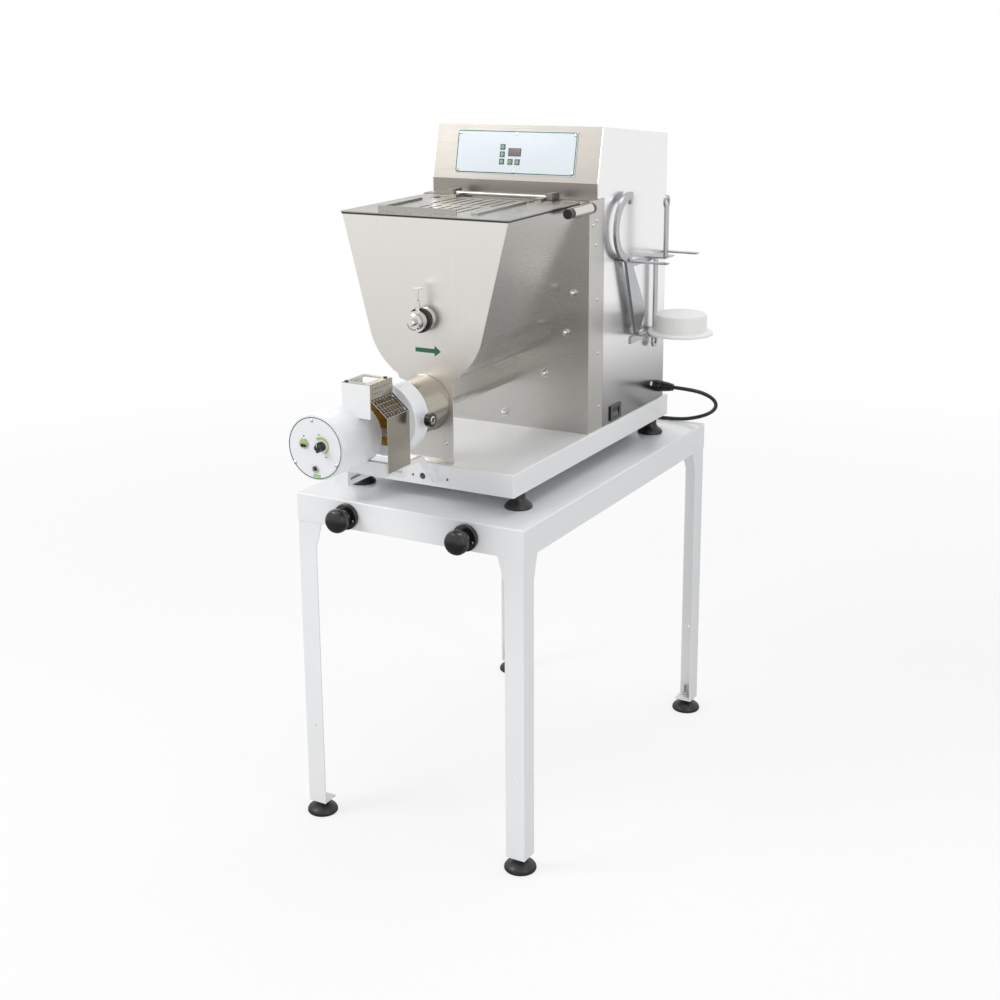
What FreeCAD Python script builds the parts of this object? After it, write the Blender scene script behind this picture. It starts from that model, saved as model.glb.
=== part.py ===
import FreeCAD, Part
import Sketcher
import math
import os
import re

os.makedirs("parts", exist_ok=True)
doc = FreeCAD.newDocument("pasta_maker")
sheet = doc.addObject("Spreadsheet::Sheet", "Sizes")
V = FreeCAD.Vector
row = 0


def size(name, value):
    """Write one driving dimension, in millimetres or degrees, into the sheet."""
    global row
    row += 1
    sheet.set("A%d" % row, name)
    sheet.set("B%d" % row, str(value))
    sheet.setAlias("B%d" % row, name)


FOLLOWS = {}


def follow(name, text):
    """Name a place that follows from other dimensions."""
    FOLLOWS[name] = "(" + text + ")"


# The stand: a folded tray on four angle legs.
STAND_WIDTH = 480
STAND_DEPTH = 826
STAND_HEIGHT = 660
size("stand_width", STAND_WIDTH)
size("stand_depth", STAND_DEPTH)
size("stand_height", STAND_HEIGHT)
size("apron_height", 54)
size("sheet_skin", 1.5)
size("tray_round", 2.5)
size("leg_flange", 38)
size("leg_skin", 2.5)
size("leg_bottom", 27)
size("leg_flare", 14)
size("flare_drop", 50)
size("leg_hole_radius", 2.5)
size("leg_hole_height", 190)
size("leg_hole_inset", 22)
size("foot_radius", 30)
size("foot_rim", 4)
size("foot_crown", 18)
size("stud_radius", 5)
size("stud_top", 58)
size("stud_nut_radius", 9)
size("stud_nut_height", 8)
size("stud_inset", 18)
# The two black bobbins on the front apron.
size("bobbin_x", 126)
size("bobbin_drop", 29)
follow("bobbin_z", "stand_height - bobbin_drop")
size("bobbin_disc_radius", 24.5)
size("bobbin_disc_depth", 9)
size("bobbin_neck_radius", 11)
size("bobbin_head_radius", 22.5)
size("bobbin_head_start", 26)
size("bobbin_head_end", 48)
size("bobbin_screw_x", 14)
size("bobbin_screw_drop", 5)
# The machine base: a folded white tray on rubber feet.
size("base_shift", 4)
follow("base_left", "base_shift - cab_half")
follow("base_right", "base_shift + cab_half")
size("base_ledge", 1)
follow("base_front", "front_plane - toe_length - base_ledge")
size("base_overhang", 19)
follow("base_back", "cab_back + base_overhang")
size("rest_height", 31)
follow("base_bottom", "stand_height + rest_height")
size("base_depth", 43)
follow("base_top", "base_bottom + base_depth")
size("base_skin", 2)
size("base_return", 30)
size("rest_radius", 26)
size("rest_stem_radius", 13)
size("rest_inset", 12)
follow("rest_x", "cab_half - rest_inset")
size("rest_front_inset", 48)
follow("rest_front_y", "base_front + rest_front_inset")
size("rest_back_inset", 53)
follow("rest_back_y", "base_back - rest_back_inset")
size("skirt_hole_rise", 16)
follow("skirt_hole_z", "base_bottom + skirt_hole_rise")
size("skirt_small_radius", 2.6)
size("skirt_large_radius", 6)
# The cabinet behind the hopper.
size("cab_half", 180)
size("wall_front", -39)
size("wall_skin", 2)
size("wall_rise", 4.5)
follow("wall_top", "rim_z + wall_rise")
size("return_depth", 64)
follow("return_back", "wall_front + return_depth")
size("cover_gap", 0.5)
size("cab_back", 321)
size("roof_rise", 70.4)
follow("roof_back", "strip_top + roof_rise")
size("strip_depth", 36.4)
follow("head_front", "wall_front + strip_depth")
size("strip_rise", 28.5)
follow("strip_top", "wall_top + strip_rise")
size("fascia_rise", 103.3)
size("fascia_run", 22.3)
size("head_inset", 2)
size("rivet_radius", 3)
size("rivet_height", 1.6)
size("vent_height", 3.6)
size("nut_radius", 6.4)
size("nut_height", 6)
size("acorn_radius", 5)
# The control plate on the sloping fascia, measured up the slope.
size("plate_half", 130)
size("plate_low", 11)
size("plate_high", 95)
size("plate_skin", 1.2)
size("plate_round", 4)
size("key_side", 10)
size("key_gap", 0.4)
size("key_proud", 0.9)
size("key_depth", 5)
size("key_column", -27.8)
size("key_second_column", -9.3)
size("key_third_column", 5.9)
size("key_row_low", 35)
size("key_row_mid", 49)
size("key_row_high", 63)
size("display_x", -1.2)
size("display_s", 53.5)
size("display_width", 25)
size("display_height", 13)
size("panel_screw_radius", 3)
size("panel_screw_height", 1.6)
# The hopper: straight sides on a half round about the mixer, over the auger trough.
follow("mixer_z", "auger_z + 2 * gear_module * gear_teeth")
size("auger_rise", 110)
follow("auger_z", "base_top + auger_rise")
size("mouth_half", 170)
size("rim_rise", 179)
follow("rim_z", "mixer_z + rim_rise")
size("bowl_radius", 120)
size("trough_half", 27)
size("hopper_skin", 1.5)
size("front_plane", -333)
size("front_skin", 2)
size("leg_half", 56)
size("leg_round", 14)
size("toe_length", 12)
size("seal_height", 3)
size("seal_width", 6)
# The lid and its hinge rod.
size("lid_skin", 2)
size("lid_tail", 12)
follow("lid_back", "hinge_y - lid_tail")
size("lid_lip", 11)
size("slot_width", 5)
size("slot_length", 92)
size("slot_pitch", 21)
size("hinge_reach", 11)
follow("hinge_y", "wall_front - hinge_reach")
size("hinge_rise", 11)
follow("hinge_z", "rim_z + hinge_rise")
size("hinge_radius", 4)
size("hinge_clearance", 0.06)
size("hinge_tab_inner", 84)
size("hinge_tab_outer", 98)
size("hinge_rod_end", 114)
size("sleeve_out", 5)
follow("sleeve_x", "cab_half + sleeve_out")
size("sleeve_drop", 7)
follow("sleeve_z", "rim_z - sleeve_drop")
size("sleeve_radius", 11)
size("sleeve_length", 76)
follow("sleeve_front", "sleeve_back - sleeve_length")
size("sleeve_gap", 13)
follow("sleeve_back", "wall_front - sleeve_gap")
# The mixer, its front bearing and the lift pin.
size("mixer_shaft_radius", 11)
size("mixer_sweep", 108)
size("blade_thick", 8)
size("blade_width", 34)
size("bore_clearance", 0.06)
size("boss_radius", 21)
size("boss_reach", 33)
follow("boss_front", "front_plane - boss_reach")
size("boss_seal_radius", 22.5)
size("boss_seal_depth", 7.5)
size("cap_radius", 15)
size("pin_radius", 4)
size("pin_start", 15)
follow("pin_bottom", "mixer_z + pin_start")
size("pin_end", 59)
follow("pin_top", "mixer_z + pin_end")
size("pin_head_radius", 9)
size("pin_reach", 24)
follow("pin_y", "front_plane - pin_reach")
# The barrel, the ring nut and the die.
size("barrel_radius", 51)
size("barrel_reach", 100)
follow("barrel_front", "front_plane - barrel_reach")
size("thread_radius", 56)
size("thread_length", 29)
follow("thread_front", "barrel_front - thread_length")
size("thread_clearance", 0.08)
size("nut_outer", 66)
size("nut_length", 43)
follow("nut_front", "barrel_front - nut_length")
size("nut_lip", 46)
size("die_radius", 50)
size("die_face_radius", 44)
size("die_hole_radius", 1.9)
size("die_depth", 17)
follow("die_front", "thread_front - die_depth")
size("auger_radius", 25)
size("auger_core", 11)
size("auger_pitch", 34)
size("knob_reach", 22)
follow("knob_y", "barrel_front - knob_reach")
size("knob_radius", 13)
size("knob_neck", 6)
follow("knob_start", "nut_outer + knob_neck")
# The drive in the cabinet.
size("gear_module", 2)
size("gear_teeth", 38)
size("gear_front", -18)
size("gear_width", 14)
size("box_half", 62)
size("box_front", 12)
size("box_back", 118)
size("motor_radius", 58)
size("motor_back", 286)
# The cutter unit in front of the die.
size("cutter_x", -44)
size("cutter_drop", 22)
follow("cutter_z", "auger_z - cutter_drop")
size("cutter_radius", 56)
size("cutter_length", 120)
follow("cutter_front", "cutter_back - cutter_length")
size("cutter_gap", 19)
follow("cutter_back", "die_front - cutter_gap")
size("cutter_skin", 2)
size("spindle_radius", 5)
size("knob_shank", 3)
size("switch_button", 7.2)
size("face_radius", 54)
size("face_skin", 2)
size("guard_x", 54)
size("guard_skin", 1.5)
size("guard_reach", 69)
follow("guard_front", "die_front - guard_reach")
follow("guard_back", "die_front - 1")
size("guard_below", 50)
follow("guard_low", "cutter_z - guard_below")
size("guard_above", 45)
follow("guard_bend", "cutter_z + guard_above")
size("panel_x", 21)
size("panel_rise", 28)
follow("panel_low", "guard_bend + panel_rise")
size("panel_height", 26)
follow("hood_top", "panel_low + panel_height")
size("hood_left", -36)
follow("hood_back", "die_front - 1")
size("sweep_radius", 82)
# The switch, the gland and the tools on the right side.
size("switch_y", 83)
size("switch_rise", 19)
follow("switch_z", "base_top + switch_rise")
size("gland_y", 292)
size("gland_rise", 27)
follow("gland_z", "base_top + gland_rise")
size("gland_radius", 12)
size("gland_length", 36)
size("cord_radius", 4)
size("coil_inner", 36)
size("coil_outer", 52)
size("plug_radius", 14.5)
size("rack_rise", 306)
follow("rack_z", "base_top + rack_rise")
size("shelf_rise", 156)
follow("shelf_z", "base_top + shelf_rise")
doc.recompute()


WORD = r"\b[a-z]+(?:_[a-z]+)+\b"


def bound(text):
    """Turn a bare expression into one that reads the sheet."""
    text = str(text)
    while any(word in FOLLOWS for word in re.findall(WORD, text)):
        text = re.sub(WORD, lambda found: FOLLOWS.get(found.group(0), found.group(0)), text)
    return re.sub(WORD, r"Sizes.\g<0>", text)


probe = doc.addObject("App::FeaturePython", "Probe")
probe.addProperty("App::PropertyFloat", "Amount")


def value(text):
    """Read an expression of sheet names as a number."""
    probe.setExpression("Amount", bound(text))
    probe.recompute()
    return probe.Amount


def place(part, x, y, z, axis=None, angle=0):
    """Stand a part at a point given by expressions, turned by a fixed rotation."""
    turn = FreeCAD.Rotation(axis, angle) if axis else FreeCAD.Rotation()
    part.Placement = FreeCAD.Placement(V(value(x), value(y), value(z)), turn)
    part.setExpression("Placement.Base.x", bound(x))
    part.setExpression("Placement.Base.y", bound(y))
    part.setExpression("Placement.Base.z", bound(z))


def block(name, x, y, z):
    """Box between pairs of faces, each face an expression."""
    part = doc.addObject("Part::Box", name)
    part.setExpression("Length", bound("(%s) - (%s)" % (x[1], x[0])))
    part.setExpression("Width", bound("(%s) - (%s)" % (y[1], y[0])))
    part.setExpression("Height", bound("(%s) - (%s)" % (z[1], z[0])))
    place(part, x[0], y[0], z[0])
    return part


TURNS = {"x": (V(0, 1, 0), 90), "y": (V(1, 0, 0), -90), "z": (V(0, 0, 1), 0)}


def rod(name, axis, radius, span, first, second):
    """Cylinder along one axis; first and second are its centre on the other two axes."""
    part = doc.addObject("Part::Cylinder", name)
    part.setExpression("Radius", bound(radius))
    part.setExpression("Height", bound("(%s) - (%s)" % (span[1], span[0])))
    spot = {"x": (span[0], first, second), "y": (first, span[0], second), "z": (first, second, span[0])}
    place(part, *spot[axis], *TURNS[axis])
    return part


def fuse(name, parts):
    """Union of parts."""
    whole = doc.addObject("Part::MultiFuse", name)
    whole.Shapes = parts
    whole.Refine = True
    return whole


def cut(name, base, tools):
    """One part less a list of others."""
    tool = tools[0] if len(tools) == 1 else fuse(name + "_tools", tools)
    whole = doc.addObject("Part::Cut", name)
    whole.Base = base
    whole.Tool = tool
    whole.Refine = True
    return whole


def group(name, parts):
    """Separate pieces kept together under one name."""
    whole = doc.addObject("Part::Compound", name)
    whole.Links = parts
    return whole


def origin_plane(body, role):
    """Origin plane or axis of a body by its role."""
    return [item for item in body.Origin.OriginFeatures if item.Role == role][0]


def outline(body, name, role, points):
    """Closed sketch of straight sides whose corners are bound to expressions."""
    sketch = body.newObject("Sketcher::SketchObject", name)
    sketch.AttachmentSupport = [(origin_plane(body, role), "")]
    sketch.MapMode = "FlatFace"
    spots = [V(value(first), value(second), 0) for first, second in points]
    for number, spot in enumerate(spots):
        after = spots[(number + 1) % len(spots)]
        sketch.addGeometry(Part.LineSegment(spot, after), False)
    for number in range(len(spots)):
        before = (number - 1) % len(spots)
        sketch.addConstraint(Sketcher.Constraint("Coincident", before, 2, number, 1))
    for number, (first, second) in enumerate(points):
        pin(sketch, "DistanceX", number, first, spots[number].x, -2)
        pin(sketch, "DistanceY", number, second, spots[number].y, -1)
    return sketch


def pin(sketch, kind, number, text, amount, axis):
    """Hold one coordinate of a sketch corner at an expression."""
    if abs(amount) < 1e-9:
        sketch.addConstraint(Sketcher.Constraint("PointOnObject", number, 1, axis))
        return
    spot = sketch.addConstraint(Sketcher.Constraint(kind, -1, 1, number, 1, amount))
    sketch.setExpression("Constraints[%d]" % spot, bound(text))


def body_of(name):
    """New body with a name."""
    return doc.addObject("PartDesign::Body", name)


def prism(name, role, points, length, reverse=False):
    """Body: a straight-sided outline padded by a length."""
    body = body_of(name)
    sketch = outline(body, name + "_outline", role, points)
    pad = body.newObject("PartDesign::Pad", name + "_pad")
    pad.Profile = sketch
    pad.setExpression("Length", bound(length))
    pad.Reversed = reverse
    sketch.Visibility = False
    return body


def turned(name, points):
    """Body of revolution about its own upright axis from (radius, height) corners."""
    body = body_of(name)
    sketch = outline(body, name + "_outline", "XZ_Plane", points)
    spin = body.newObject("PartDesign::Revolution", name + "_turn")
    spin.Profile = sketch
    spin.ReferenceAxis = (sketch, ["V_Axis"])
    spin.Angle = 360
    return body


def stand_on(part, x, y, z, axis="z"):
    """Place a turned part with its axis along x, y, z or toward -y."""
    turns = dict(TURNS)
    turns["-y"] = (V(1, 0, 0), 90)
    turns["-x"] = (V(0, 1, 0), -90)
    turns["-z"] = (V(1, 0, 0), 180)
    place(part, x, y, z, *turns[axis])
    return part


def on_fascia(part, x, out, up):
    """Place a part on the sloping fascia: across, outward and up the slope."""
    slope = math.degrees(math.atan2(value("fascia_run"), value("fascia_rise")))
    length = "sqrt(fascia_run * fascia_run + fascia_rise * fascia_rise)"
    y = "head_front + (%s) * fascia_run / %s - (%s) * fascia_rise / %s" % (up, length, out, length)
    z = "strip_top + (%s) * fascia_rise / %s + (%s) * fascia_run / %s" % (up, length, out, length)
    place(part, x, y, z, V(-1, 0, 0), slope)
    part.setExpression("Placement.Rotation.Angle", bound("atan2(fascia_run; fascia_rise)"))
    return part


def both(side, first, second):
    """A pair of faces on one side of the centre plane, in rising order."""
    pair = [side + first, side + second]
    if side:
        pair.reverse()
    return pair


def plain_box(name, length, width, height):
    """Box with its corner at its own origin."""
    part = doc.addObject("Part::Box", name)
    part.setExpression("Length", bound(length))
    part.setExpression("Width", bound(width))
    part.setExpression("Height", bound(height))
    return part


def tray(name, x, y, z, skin):
    """Folded sheet tray, open below, with small rounded outer edges."""
    body = body_of(name)
    corners = [(x[0], y[0]), (x[1], y[0]), (x[1], y[1]), (x[0], y[1])]
    sketch = outline(body, name + "_outline", "XY_Plane", corners)
    pad = body.newObject("PartDesign::Pad", name + "_pad")
    pad.Profile = sketch
    pad.setExpression("Length", bound("(%s) - (%s)" % (z[1], z[0])))
    doc.recompute()
    edges = []
    for number, edge in enumerate(pad.Shape.Edges, 1):
        if edge.BoundBox.ZMax > 0.1:
            edges.append("Edge%d" % number)
    fillet = body.newObject("PartDesign::Fillet", name + "_round")
    fillet.Base = (pad, edges)
    fillet.setExpression("Radius", bound("tray_round"))
    doc.recompute()
    inner = [("%s + %s" % (x[0], skin), "%s + %s" % (y[0], skin)),
             ("%s - %s" % (x[1], skin), "%s + %s" % (y[0], skin)),
             ("%s - %s" % (x[1], skin), "%s - %s" % (y[1], skin)),
             ("%s + %s" % (x[0], skin), "%s - %s" % (y[1], skin))]
    hollow = outline(body, name + "_hollow", "XY_Plane", inner)
    pocket = body.newObject("PartDesign::Pocket", name + "_pocket")
    pocket.Profile = hollow
    pocket.Reversed = True
    pocket.setExpression("Length", bound("(%s) - (%s) - (%s)" % (z[1], z[0], skin)))
    place(body, "0", "0", z[0])
    return body


NODES = []


def node(name, part):
    """Keep a part as one named piece of the assembly."""
    part.Label = name
    NODES.append(part)
    return part


# Stand top: a white folded tray with two bores for the bobbins.
top = tray("top_tray", ("-stand_width / 2", "stand_width / 2"), ("-stand_depth / 2", "stand_depth / 2"),
           ("stand_height - apron_height", "stand_height"), "sheet_skin")
bores = []
for side in ("-", ""):
    bores.append(rod("top_bore", "y", "stud_radius", ("-stand_depth / 2 - 5", "-stand_depth / 2 + 5"),
                     side + "bobbin_x", "bobbin_z"))
node("stand_top", cut("top_cut", top, bores))

# One leg in local axes: two flanges from the outer corner, a corner plate at the bottom.
LEG_X = "stand_width / 2 - sheet_skin"
LEG_Y = "stand_depth / 2 - sheet_skin"
LEG_TOP = "stand_height - sheet_skin - 4"
FLARE_TOP = "stand_height - apron_height"
SIDE_OUTLINE = [("0", "leg_bottom"), ("leg_flange", "leg_bottom"),
                ("leg_flange", FLARE_TOP + " - flare_drop"),
                ("leg_flange + leg_flare", FLARE_TOP), ("leg_flange + leg_flare", LEG_TOP), ("0", LEG_TOP)]
legs = []
for corner, (sx, sy, turn) in enumerate([("-", "-", 0), ("", "-", 90), ("", "", 180), ("-", "", 270)]):
    front = prism("leg_front_face", "XZ_Plane", SIDE_OUTLINE, "leg_skin", True)
    side = prism("leg_side_face", "YZ_Plane", SIDE_OUTLINE, "leg_skin")
    floor = block("leg_floor", ("0.5", "leg_flange - 1"), ("0.5", "leg_flange - 1"),
                  ("leg_bottom", "leg_bottom + leg_skin"))
    leg = fuse("leg_body", [front, side, floor])
    holes = [rod("leg_hole", "y", "leg_hole_radius", ("-2", "8"), "leg_hole_inset", "leg_hole_height"),
             rod("leg_hole", "x", "leg_hole_radius", ("-2", "8"), "leg_hole_inset", "leg_hole_height"),
             rod("leg_stud_hole", "z", "stud_radius", ("leg_bottom - 2", "leg_bottom + 8"),
                 "stud_inset", "stud_inset")]
    leg = cut("leg_cut", leg, holes)
    place(leg, "%s(%s)" % (sx, LEG_X), "%s(%s)" % (sy, LEG_Y), "0", V(0, 0, 1), turn)
    legs.append(leg)
node("stand_legs", group("stand_legs_group", legs))

# Adjustable feet: black domes with a stud and a lock nut above the corner plate.
feet = []
for sx in ("-", ""):
    for sy in ("-", ""):
        x = "%s(%s - stud_inset)" % (sx, LEG_X)
        y = "%s(%s - stud_inset)" % (sy, LEG_Y)
        dome = turned("foot_dome", [("0", "0"), ("foot_radius - 2", "0"), ("foot_radius", "foot_rim"),
                                    ("foot_radius * 0.9", "foot_rim + 6"),
                                    ("foot_radius * 0.66", "foot_crown - 2"),
                                    ("stud_nut_radius + 3", "foot_crown + 2"),
                                    ("stud_nut_radius + 1", "leg_bottom"), ("0", "leg_bottom")])
        stand_on(dome, x, y, "0")
        feet.append(dome)
node("leg_feet", group("leg_feet_group", feet))
studs = []
for sx in ("-", ""):
    for sy in ("-", ""):
        x = "%s(%s - stud_inset)" % (sx, LEG_X)
        y = "%s(%s - stud_inset)" % (sy, LEG_Y)
        stud = rod("foot_stud", "z", "stud_radius", ("leg_bottom", "stud_top"), x, y)
        hexagon = doc.addObject("Part::Prism", "foot_nut")
        hexagon.Polygon = 6
        hexagon.setExpression("Circumradius", bound("stud_nut_radius"))
        hexagon.setExpression("Height", bound("stud_nut_height"))
        place(hexagon, x, y, "leg_bottom + leg_skin")
        studs.append(fuse("foot_bolt", [stud, hexagon]))
node("foot_bolts", group("foot_bolts_group", studs))

# Bobbins on the front apron: rear disc, neck and rounded head, pointing forward.
bobbins = []
for side in ("-", ""):
    bobbin = turned("bobbin", [("0", "-8"), ("stud_radius - 0.1", "-8"), ("stud_radius - 0.1", "0"),
                               ("bobbin_disc_radius - 2", "0"), ("bobbin_disc_radius", "2"),
                               ("bobbin_disc_radius", "bobbin_disc_depth - 2"),
                               ("bobbin_disc_radius - 2", "bobbin_disc_depth"),
                               ("bobbin_neck_radius", "bobbin_disc_depth + 2"),
                               ("bobbin_neck_radius", "bobbin_head_start - 3"),
                               ("bobbin_head_radius - 1", "bobbin_head_start"),
                               ("bobbin_head_radius", "bobbin_head_start + 3"),
                               ("bobbin_head_radius", "bobbin_head_end - 6"),
                               ("bobbin_head_radius - 3", "bobbin_head_end - 2"),
                               ("bobbin_head_radius - 10", "bobbin_head_end"), ("0", "bobbin_head_end")])
    stand_on(bobbin, side + "bobbin_x", "-stand_depth / 2", "bobbin_z", "-y")
    recess = rod("bobbin_recess", "y", "panel_screw_radius + bore_clearance",
                 ("-stand_depth / 2 - bobbin_disc_depth - 4", "-stand_depth / 2 - bobbin_disc_depth + 0.2"),
                 side + "bobbin_x + bobbin_screw_x + 3", "bobbin_z - bobbin_screw_drop")
    bobbins.append(cut("bobbin_cut", bobbin, [recess]))
node("front_bobbins", group("front_bobbins_group", bobbins))

# Machine base: a white folded tray with inward returns for the rubber feet.
base = tray("base_tray", ("base_left", "base_right"), ("base_front", "base_back"),
            ("base_bottom", "base_top"), "base_skin")
strips = [block("return_front", ("base_left + base_skin", "base_right - base_skin"),
                ("base_front + base_skin", "base_front + 2 * base_return + 10"),
                ("base_bottom", "base_bottom + base_skin")),
          block("return_back", ("base_left + base_skin", "base_right - base_skin"),
                ("base_back - 2 * base_return - 10", "base_back - base_skin"),
                ("base_bottom", "base_bottom + base_skin"))]
holes = []
for x in (-97.7, -24, 48.5):
    holes.append(rod("skirt_hole", "y", "skirt_small_radius", ("base_front - 3", "base_front + 5"), str(x),
                     "skirt_hole_z"))
for x in (-53, -3.6):
    holes.append(rod("skirt_hole", "y", "skirt_large_radius", ("base_front - 3", "base_front + 5"), str(x),
                     "skirt_hole_z"))
stud = turned("base_stud", [("0", "0"), ("13", "0"), ("11", "9"), ("8", "12"), ("0", "12")])
strips.append(stand_on(stud, "-112", "base_front + 33", "base_top"))
node("base_plate", cut("base_cut", fuse("base_whole", [base] + strips), holes))

rests = []
for side in ("-", ""):
    for y in ("rest_front_y", "rest_back_y"):
        rest = turned("rest", [("0", "0"), ("rest_radius - 1", "0"), ("rest_radius", "3"),
                               ("rest_radius * 0.8", "9"), ("rest_stem_radius + 2", "13"),
                               ("rest_stem_radius", "15"),
                               ("rest_stem_radius", "base_bottom - stand_height"),
                               ("0", "base_bottom - stand_height")])
        stand_on(rest, side + "rest_x", y, "stand_height")
        rests.append(rest)
node("machine_feet", group("machine_feet_group", rests))

# Front wall of the cabinet: a sheet folded back along both sides.
wall = fuse("wall_sheet", [
    block("wall_face", ("-cab_half", "cab_half"), ("wall_front", "wall_front + wall_skin"),
          ("base_top", "wall_top")),
    block("wall_left", ("-cab_half", "-cab_half + wall_skin"), ("wall_front", "return_back"),
          ("base_top", "wall_top")),
    block("wall_right", ("cab_half - wall_skin", "cab_half"), ("wall_front", "return_back"),
          ("base_top", "wall_top"))])
node("front_wall", cut("wall_cut", wall, [
    rod("wall_bore_mixer", "y", "mixer_shaft_radius + 4", ("wall_front - 5", "wall_front + 10"), "0", "mixer_z"),
    rod("wall_bore_auger", "y", "auger_core + 4", ("wall_front - 5", "wall_front + 10"), "0", "auger_z")]))

rivets = []
RIVETS = [(-22, 399), (-6, 406), (-9, 361), (-3, 256), (2, 152), (9, 46)]
for side, turn in (("", "x"), ("-", "-x")):
    for y, z in RIVETS:
        head = turned("rivet", [("0", "0"), ("rivet_radius", "0"), ("rivet_radius * 0.8", "rivet_height * 0.7"),
                                ("rivet_radius * 0.3", "rivet_height"), ("0", "rivet_height")])
        rivets.append(stand_on(head, side + "cab_half", str(y), "base_top + %d" % z, turn))
node("strip_rivets", group("strip_rivets_group", rivets))

acorns = []
ACORNS = [(-148, 273), (148, 273), (-133, 196), (133, 196), (-88, 112), (88, 112), (0, 25)]
for x, rise in ACORNS:
    z = "base_top + %d" % rise
    hexagon = doc.addObject("Part::Prism", "acorn_hex")
    hexagon.Polygon = 6
    hexagon.setExpression("Circumradius", bound("nut_radius"))
    hexagon.setExpression("Height", bound("nut_height"))
    place(hexagon, str(x), "wall_front", z, V(1, 0, 0), 90)
    dome = doc.addObject("Part::Sphere", "acorn_dome")
    dome.setExpression("Radius", bound("acorn_radius"))
    place(dome, str(x), "wall_front - nut_height", z)
    washer = rod("acorn_washer", "y", "nut_radius + 1.5", ("wall_front - 1", "wall_front"), str(x), z)
    acorns.append(fuse("acorn", [hexagon, dome, washer]))
node("wall_nuts", group("wall_nuts_group", acorns))

# Side covers, rear cover and the head with its sloping fascia.
SIDE = [("return_back + cover_gap", "base_top"), ("cab_back", "base_top"), ("cab_back", "roof_back"),
        ("head_front + fascia_run", "strip_top + fascia_rise"), ("head_front", "strip_top"),
        ("head_front", "wall_top + cover_gap"), ("return_back + cover_gap", "wall_top + cover_gap")]
right = prism("cover_right", "YZ_Plane", SIDE, "head_inset")
place(right, "cab_half - head_inset", "0", "0")
gland_bore = rod("gland_bore", "x", "gland_radius - 4", ("cab_half - 8", "cab_half + 4"), "gland_y", "gland_z")
switch_bore = block("switch_bore", ("cab_half - 8", "cab_half + 4"), ("switch_y - 20", "switch_y + 20"),
                    ("switch_z - 12", "switch_z + 12"))
plug_bore = rod("plug_bore", "x", "3.4 + bore_clearance", ("cab_half - 8", "cab_half + 4"), "260", "base_top + 38")
node("side_cover_right", cut("cover_right_cut", right, [gland_bore, switch_bore, plug_bore]))
left = prism("cover_left", "YZ_Plane", SIDE, "head_inset")
place(left, "-cab_half", "0", "0")
node("side_cover_left", left)
rear = block("rear_sheet", ("-cab_half + head_inset", "cab_half - head_inset"),
             ("cab_back - head_inset", "cab_back"), ("base_top", "roof_back - head_inset - 1"))
slots = []
for line in range(9):
    z = "base_top + %d" % (66 + 16 * line)
    slots.append(block("vent", ("-60", "60"), ("cab_back - 8", "cab_back + 4"), (z, z + " + vent_height")))
node("rear_cover", cut("rear_cut", rear, slots))

HEAD = [("wall_front", "wall_top"), ("head_front", "wall_top"), ("head_front", "strip_top"),
        ("head_front + fascia_run", "strip_top + fascia_rise"), ("cab_back", "roof_back"),
        ("cab_back", "roof_back - head_inset"),
        ("head_front + fascia_run + 1.5", "strip_top + fascia_rise - head_inset - 0.3"),
        ("head_front + head_inset", "strip_top"), ("head_front + head_inset", "wall_top + head_inset"),
        ("wall_front", "wall_top + head_inset")]
head = prism("head_sheet", "YZ_Plane", HEAD, "2 * cab_half - 2 * head_inset")
place(head, "-cab_half + head_inset", "0", "0")
windows = []
for x, s in (("key_column", "key_row_low"), ("key_column", "key_row_mid"), ("key_column", "key_row_high"),
             ("key_second_column", "key_row_low"), ("key_third_column", "key_row_low")):
    hole = plain_box("key_window", "key_side + 2 * key_gap", "12", "key_side + 2 * key_gap")
    windows.append(on_fascia(hole, x + " - key_side / 2 - key_gap", "5", s + " - key_side / 2 - key_gap"))
head_sheet = cut("head_cut", head, windows)

# Control plate on the fascia with windows for five keys.
plate = plain_box("plate_sheet", "2 * plate_half", "plate_skin", "plate_high - plate_low")
on_fascia(plate, "-plate_half", "plate_skin", "plate_low")
node("control_plate", cut("plate_cut", plate, windows))

KEYS = [("key_start", "key_column", "key_row_high"), ("key_mix", "key_column", "key_row_mid"),
        ("key_extrude", "key_column", "key_row_low"), ("key_less", "key_second_column", "key_row_low"),
        ("key_more", "key_third_column", "key_row_low")]
for name, x, s in KEYS:
    key = plain_box(name + "_block", "key_side", "key_depth + key_proud + plate_skin", "key_side")
    on_fascia(key, x + " - key_side / 2", "plate_skin + key_proud", s + " - key_side / 2")
    node(name, key)
display = plain_box("display_block", "display_width", "0.8", "display_height")
on_fascia(display, "display_x - display_width / 2", "plate_skin + 0.8", "display_s - display_height / 2")
node("display_window", display)

# Small pan-head screws: control plate, cutter face, hood and bobbins.
SCREW = [("0", "0"), ("panel_screw_radius", "0"), ("panel_screw_radius", "panel_screw_height * 0.4"),
         ("panel_screw_radius * 0.6", "panel_screw_height"), ("0", "panel_screw_height")]
screws = []
for x in ("-plate_half + 6", "0", "plate_half - 6"):
    for s in ("plate_low + 6", "plate_high - 6"):
        screw = turned("plate_screw", SCREW)
        on_fascia(screw, x, "plate_skin", s)
        slope = math.degrees(math.atan2(value("fascia_run"), value("fascia_rise")))
        screw.setExpression("Placement.Rotation.Angle", None)
        screw.Placement = FreeCAD.Placement(screw.Placement.Base, FreeCAD.Rotation(V(1, 0, 0), 90 - slope))
        screw.setExpression("Placement.Rotation.Angle", bound("90 deg - atan2(fascia_run; fascia_rise)"))
        screws.append(screw)
for x, z in ((-5, 47), (-42, -30), (43, -25)):
    screws.append(stand_on(turned("face_screw", SCREW), "cutter_x + %d" % x, "cutter_front - face_skin",
                           "cutter_z + %d" % z, "-y"))
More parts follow.
